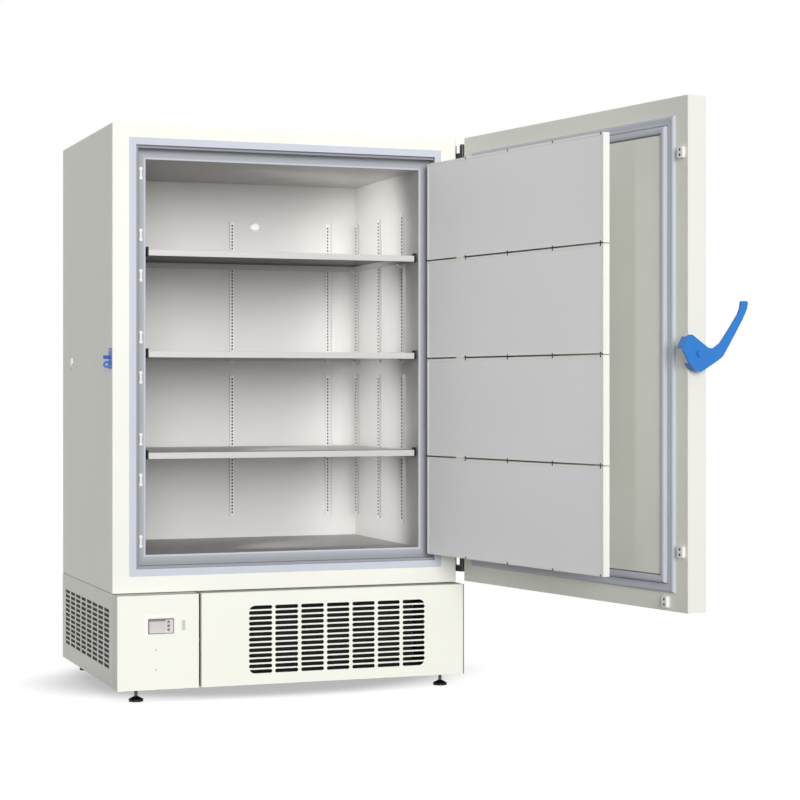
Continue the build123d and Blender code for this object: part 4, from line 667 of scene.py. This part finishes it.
# Bare plate beside the display
PLATE_X = 229 * MM
PLATE_DROP = 106.5 * MM
PLATE_HALF = Vector((6, 0, 17)) * MM
PLATE_THICKNESS = 1.6 * MM
PLATE_EDGE = 0.7 * MM
work = bmesh.new()
plate_mid = Vector((shell_low.x + PLATE_X, front_y, deck_z - PLATE_DROP))
soft_box(work, plate_mid - PLATE_HALF + FRONT * PLATE_THICKNESS, plate_mid + PLATE_HALF, PLATE_EDGE)
piece("bare_plate", "cabinet", work, [plate_grey])

# Pleated filter mats behind the slots of the side and rear panels
MAT_DEPTH = 5 * MM
MAT_PITCH = 8 * MM
MAT_FROM_SHELL = 3.5 * MM
MAT_DROPS = (270 * MM, 50 * MM)
SIDE_MAT_MARGIN = 50 * MM
REAR_MAT_WIDTH = 440 * MM
side_mat_width = shell_high.y - shell_low.y - 2 * SIDE_MAT_MARGIN
filter_mats = (
    ("left_filter_mat", Vector((shell_low.x, shell_mid.y, deck_z)), BACK, RIGHT, side_mat_width),
    ("right_filter_mat", Vector((shell_high.x, shell_mid.y, deck_z)), BACK, LEFT, side_mat_width),
    ("rear_filter_mat", Vector((shell_mid.x, shell_high.y, deck_z)), RIGHT, FRONT, REAR_MAT_WIDTH),
)
for name, wall, run, inward, length in filter_mats:
    folds = int(length / MAT_PITCH)
    first = wall + inward * MAT_FROM_SHELL - run * (folds * MAT_PITCH / 2)
    ridges = [first + run * (fold * MAT_PITCH) + inward * (MAT_DEPTH * (fold % 2)) for fold in range(folds + 1)]
    work = bmesh.new()
    lower, upper = [[work.verts.new(ridge - UP * drop) for ridge in ridges] for drop in MAT_DROPS]
    for fold in range(folds):
        work.faces.new((lower[fold], lower[fold + 1], upper[fold + 1], upper[fold]))
    piece(name, "cabinet", work, [mat_grey])

# Painted shadow in the display's recess: a dark frame, wider at its top and left
POCKET_INSET = Vector((7, 0, 7)) * MM
SHADOW_LEFT, SHADOW_RIGHT = 6 * MM, 1.5 * MM
SHADOW_BOTTOM, SHADOW_TOP = 2 * MM, 4.5 * MM
SHADOW_THICKNESS = 1.5 * MM
SHADOW_LIFT = 0.2 * MM
SHADOW_EDGE = 0.4 * MM
shadow_y = screen_low.y - SHADOW_LIFT
pocket_low, pocket_high = bezel_low + POCKET_INSET, bezel_high - POCKET_INSET
inner_left, inner_right = pocket_low.x + SHADOW_LEFT, pocket_high.x - SHADOW_RIGHT
inner_bottom, inner_top = pocket_low.z + SHADOW_BOTTOM, pocket_high.z - SHADOW_TOP
bars = (
    (pocket_low.x, pocket_low.z, inner_left, pocket_high.z),
    (inner_left, inner_top, pocket_high.x, pocket_high.z),
    (inner_left, pocket_low.z, inner_right, inner_bottom),
    (inner_right, pocket_low.z, pocket_high.x, inner_top),
)
work = bmesh.new()
for x0, z0, x1, z1 in bars:
    soft_box(work, (x0, shadow_y - SHADOW_THICKNESS, z0), (x1, shadow_y, z1), SHADOW_EDGE, segments=1)
piece("display_recess_shadow", "cabinet", work, [recess_shadow_grey])

# Black end caps on the shelves' front corners
END_CAP_WIDTH = 8 * MM
END_CAP_DEPTH = 24 * MM
END_CAP_OVER = 9 * MM
END_CAP_WALL = 1 * MM
END_CAP_EDGE = 2 * MM
for number, (low, high) in zip(SHELVES, shelf_boxes):
    work = bmesh.new()
    for x in (low.x - END_CAP_WIDTH, high.x):
        cap_front = (x, low.y - END_CAP_WALL, low.z - END_CAP_WALL)
        cap_back = (x + END_CAP_WIDTH, low.y + END_CAP_DEPTH, high.z + END_CAP_OVER)
        soft_box(work, cap_front, cap_back, END_CAP_EDGE)
    piece(f"shelf_{number}_end_caps", "cabinet", work, [end_black])

# Spring clips over the edges of the inner doors, at distances from their hinge rod
CLIP_SPOTS = (264 * MM, 527 * MM, 791.5 * MM, 1055 * MM)
CLIP_WIDTH = 5 * MM
CLIP_SHEET = 0.8 * MM
CLIP_TAB = 7 * MM
CLIP_STAND = 1 * MM
CLIP_EDGE = 0.2 * MM
# A dark lip along the seam to the door below, and the white joint block in that seam
LIP_INSET = 2 * MM
LIP_DEPTH, LIP_RISE = 1 * MM, 0.4 * MM
LIP_BELOW, LIP_ABOVE = 0.2 * MM, 2.4 * MM
LIP_EDGE = 0.3 * MM
JOINT_FAR, JOINT_NEAR = 252 * MM, 206 * MM
JOINT_DEPTH, JOINT_RISE = 8 * MM, 0.7 * MM
JOINT_GAP, JOINT_ABOVE = 0.3 * MM, 3.4 * MM
JOINT_EDGE = 0.5 * MM
rod_x = joints["inner_door_1_hinge"]["pos_m"][0]
for number in INNER_DOORS:
    low, high = solids(f"inner_door_{number}", inner_shut)[0]
    trim_low, trim_high = solids(f"inner_door_trim_{number}", inner_shut)[0]
    near_y, far_y = low.y - CLIP_STAND, high.y + CLIP_STAND
    work = bmesh.new()
    for spot in CLIP_SPOTS:
        x0, x1 = rod_x - spot - CLIP_WIDTH / 2, rod_x - spot + CLIP_WIDTH / 2
        for edge, inward in ((trim_high.z, -1), (trim_low.z, 1)):
            outer = edge - inward * CLIP_SHEET
            tab = edge + inward * CLIP_TAB
            spans = (
                (near_y - CLIP_SHEET, far_y + CLIP_SHEET, edge),
                (far_y, far_y + CLIP_SHEET, tab),
                (near_y - CLIP_SHEET, near_y, tab),
            )
            for y0, y1, z in spans:
                soft_box(work, (x0, y0, min(z, outer)), (x1, y1, max(z, outer)), CLIP_EDGE, inner_open, segments=1)
    piece(f"inner_door_{number}_clips", f"inner_{number}", work, [dark_plated])
    if number == INNER_DOORS[-1]:
        continue
    work = bmesh.new()
    lip_low = (trim_low.x + LIP_INSET, far_y - LIP_DEPTH, trim_low.z - LIP_BELOW)
    lip_high = (trim_high.x - LIP_INSET, far_y + LIP_RISE, trim_low.z + LIP_ABOVE)
    soft_box(work, lip_low, lip_high, LIP_EDGE, inner_open, segments=1)
    piece(f"inner_door_{number}_lip", f"inner_{number}", work, [end_black])
    next_top = solids(f"inner_door_trim_{number + 1}", inner_shut)[0][1].z
    work = bmesh.new()
    joint_low = (rod_x - JOINT_FAR, far_y - JOINT_DEPTH, next_top + JOINT_GAP)
    joint_high = (rod_x - JOINT_NEAR, far_y + JOINT_RISE, trim_low.z + JOINT_ABOVE)
    soft_box(work, joint_low, joint_high, JOINT_EDGE, inner_open)
    piece(f"inner_door_{number}_joint", f"inner_{number}", work, [white_plastic])

# Domed caps on the main hinge pins: radius and height in millimetres
PIN_CAP_PROFILE = ((8.0, 0.0), (8.0, 1.6), (6.4, 3.2), (3.4, 4.2), (0.0, 4.5))
work = bmesh.new()
hinge_x, hinge_y = joints["main_door_hinge"]["pos_m"][:2]
for low, high in hinge_leaves:
    cap = [(radius * MM, height * MM) for radius, height in PIN_CAP_PROFILE]
    lathe(work, Matrix.Translation((hinge_x, hinge_y, high.z)), cap)
piece("hinge_pin_caps", "cabinet", work, [dark_plated], smooth=True)


# Softened edges on the sheet metal and mouldings of the CAD

WELD_DISTANCE = 0.01 * MM
SHARP_ANGLE = math.radians(40.0)


def soften(node_names, width):
    """Rounds the sharp edges of CAD nodes with modifiers; their own meshes stay as they are."""
    for node_name in node_names:
        node = frame["nodes"][node_name]
        weld = node.modifiers.new("weld", "WELD")
        weld.merge_threshold = WELD_DISTANCE
        bevel = node.modifiers.new("edges", "BEVEL")
        bevel.width = width
        bevel.segments = 2
        bevel.limit_method = "ANGLE"
        bevel.angle_limit = SHARP_ANGLE
        even = node.modifiers.new("shading", "WEIGHTED_NORMAL")
        even.keep_sharp = True


soften(["outer_shell", "door_outer_panel"], 2.0 * MM)
soften(["door_stop_blocks", "handle_bracket", "handle_lever", "breaker_frame", "door_inner_panel"], 1.5 * MM)
soften(["display_bezel"] + [f"inner_door_trim_{number}" for number in INNER_DOORS], 0.6 * MM)
soften([f"shelf_{number}" for number in SHELVES], 0.8 * MM)


# Camera, from the photograph: level, turned to the right, with a small vertical shift

LENS_MM = 91.05
SENSOR_MM = 36.0
CAMERA_TURN = math.radians(20.438)
CAMERA_OFFSET = Vector((-1.4845, -6.7833, 0.6933))
CAMERA_SHIFT_Y = -0.01265
CAMERA_REACH = 100.0

scene = bpy.context.scene
scene.view_settings.view_transform = "Standard"

camera = bpy.data.objects.new("camera", bpy.data.cameras.new("camera"))
scene.collection.objects.link(camera)
camera.data.lens = LENS_MM
camera.data.sensor_width = SENSOR_MM
camera.data.shift_y = CAMERA_SHIFT_Y
camera.data.clip_end = CAMERA_REACH
camera.location = shell_low + CAMERA_OFFSET
camera.rotation_euler = (math.pi / 2, 0.0, -CAMERA_TURN)
scene.camera = camera


# White floor and surround

WHITE = (1.0, 1.0, 1.0, 1.0)
AMBIENT = 0.365
FLOOR_HALF = 40.0
FLOOR_COLOUR = (0.30, 0.30, 0.30, 1.0)
FLOOR_ROUGHNESS = 0.9
# The floor's own light near the cabinet and far from it: the lower light near the cabinet paints a soft shadow
# around its base; the distances are in half sizes of the cabinet
NEAR_LIFT = 0.46
FAR_LIFT = 0.87
FADE_START = 0.95
FADE_END = 1.45


def background_rays(tree):
    """1 for rays from the camera, a mirror or glass, which see a white surround, and 0 for the light itself."""
    path = tree.nodes.new("ShaderNodeLightPath")
    direct = number_step(tree, "MAXIMUM", path.outputs["Is Camera Ray"], path.outputs["Is Glossy Ray"])
    return number_step(tree, "MAXIMUM", direct, path.outputs["Is Transmission Ray"])


floor_mesh = bpy.data.meshes.new("floor")
corners = [(x * FLOOR_HALF, y * FLOOR_HALF, 0.0) for x, y in ((-1, -1), (1, -1), (1, 1), (-1, 1))]
floor_mesh.from_pydata(corners, [], [(0, 1, 2, 3)])
floor = bpy.data.objects.new("floor", floor_mesh)
scene.collection.objects.link(floor)
floor_material, tree, floor_shader = new_material("floor")
floor_shader.inputs["Base Color"].default_value = FLOOR_COLOUR
floor_shader.inputs["Roughness"].default_value = FLOOR_ROUGHNESS
floor_shader.inputs["Specular IOR Level"].default_value = 0.0
floor_shader.inputs["Emission Color"].default_value = WHITE
shell_half = (shell_high - shell_low) / 2
floor_fade = tree.nodes.new("ShaderNodeMapRange")
floor_fade.interpolation_type = "SMOOTHSTEP"
floor_fade.inputs["From Min"].default_value = FADE_START
floor_fade.inputs["From Max"].default_value = FADE_END
floor_fade.inputs["To Min"].default_value = NEAR_LIFT
floor_fade.inputs["To Max"].default_value = FAR_LIFT
floor_reach = place_length(tree, shell_mid, (1 / shell_half.x, 1 / shell_half.y, 0.0))
tree.links.new(floor_reach, floor_fade.inputs["Value"])
floor_lift = both(tree, floor_fade.outputs["Result"], background_rays(tree))
tree.links.new(floor_lift, floor_shader.inputs["Emission Strength"])
floor.data.materials.append(floor_material)

world = bpy.data.worlds.new("studio")
scene.world = world
world.use_nodes = True
tree = world.node_tree
sky = tree.nodes.new("ShaderNodeMapRange")
sky.inputs["To Min"].default_value = AMBIENT
sky.inputs["To Max"].default_value = 1.0
tree.links.new(background_rays(tree), sky.inputs["Value"])
backdrop = tree.nodes["Background"]
backdrop.inputs["Color"].default_value = WHITE
tree.links.new(sky.outputs["Result"], backdrop.inputs["Strength"])


# Lamps

KEY_PLACE, KEY_AIM = (-1.3, -7.0, 2.3), (-0.2, 0.3, 1.0)
KEY_STRENGTH = 2.48
KEY_ANGLE = math.radians(32.0)
FILL_PLACE, FILL_AIM = (-3.0, -0.75, 1.30), (0.6, -0.4, 1.20)
FILL_POWER = 40.0
FILL_CONE = math.radians(28.0)
FILL_BLEND = 0.5
FILL_RADIUS = 0.4
CHAMBER_POWERS = (58.0, 51.0, 46.0, 45.0)
CHAMBER_CONE = math.radians(43.0)
CHAMBER_BLEND = 1.0
CHAMBER_RADIUS = 40 * MM
# Places in a compartment: distances from its front left, and shares of its height
CHAMBER_FROM_LEFT, CHAMBER_FROM_FRONT = 40 * MM, 25 * MM
CHAMBER_DROP = 0.40
CHAMBER_AIM_FROM_BACK = 260 * MM
CHAMBER_AIM_RISE = 0.22


def aimed_lamp(name, kind, place, aim, power):
    """A lamp of a kind that points at a place."""
    lamp = bpy.data.objects.new(name, bpy.data.lights.new(name, kind))
    lamp.data.energy = power
    lamp.location = place
    lamp.rotation_euler = (Vector(aim) - Vector(place)).to_track_quat("-Z", "Y").to_euler()
    scene.collection.objects.link(lamp)
    return lamp.data


def aimed_spot(name, place, aim, power, cone, blend, radius):
    """A spot lamp with a soft cone."""
    spot = aimed_lamp(name, "SPOT", place, aim, power)
    spot.spot_size = cone
    spot.spot_blend = blend
    spot.shadow_soft_size = radius


key = aimed_lamp("key", "SUN", KEY_PLACE, KEY_AIM, KEY_STRENGTH)
key.angle = KEY_ANGLE
aimed_spot("fill", FILL_PLACE, FILL_AIM, FILL_POWER, FILL_CONE, FILL_BLEND, FILL_RADIUS)

# One soft lamp at the front left of each compartment, towards its back right corner
ceilings = [liner_high.z] + [low.z for low, high in shelf_boxes]
floors = [high.z for low, high in shelf_boxes] + [liner_low.z]
for number, (ceiling, ground, power) in enumerate(zip(ceilings, floors, CHAMBER_POWERS), start=1):
    height = ceiling - ground
    place = (liner_low.x + CHAMBER_FROM_LEFT, liner_low.y + CHAMBER_FROM_FRONT, ceiling - CHAMBER_DROP * height)
    aim = (liner_high.x, liner_high.y - CHAMBER_AIM_FROM_BACK, ground + CHAMBER_AIM_RISE * height)
    aimed_spot(f"chamber_{number}", place, aim, power, CHAMBER_CONE, CHAMBER_BLEND, CHAMBER_RADIUS)
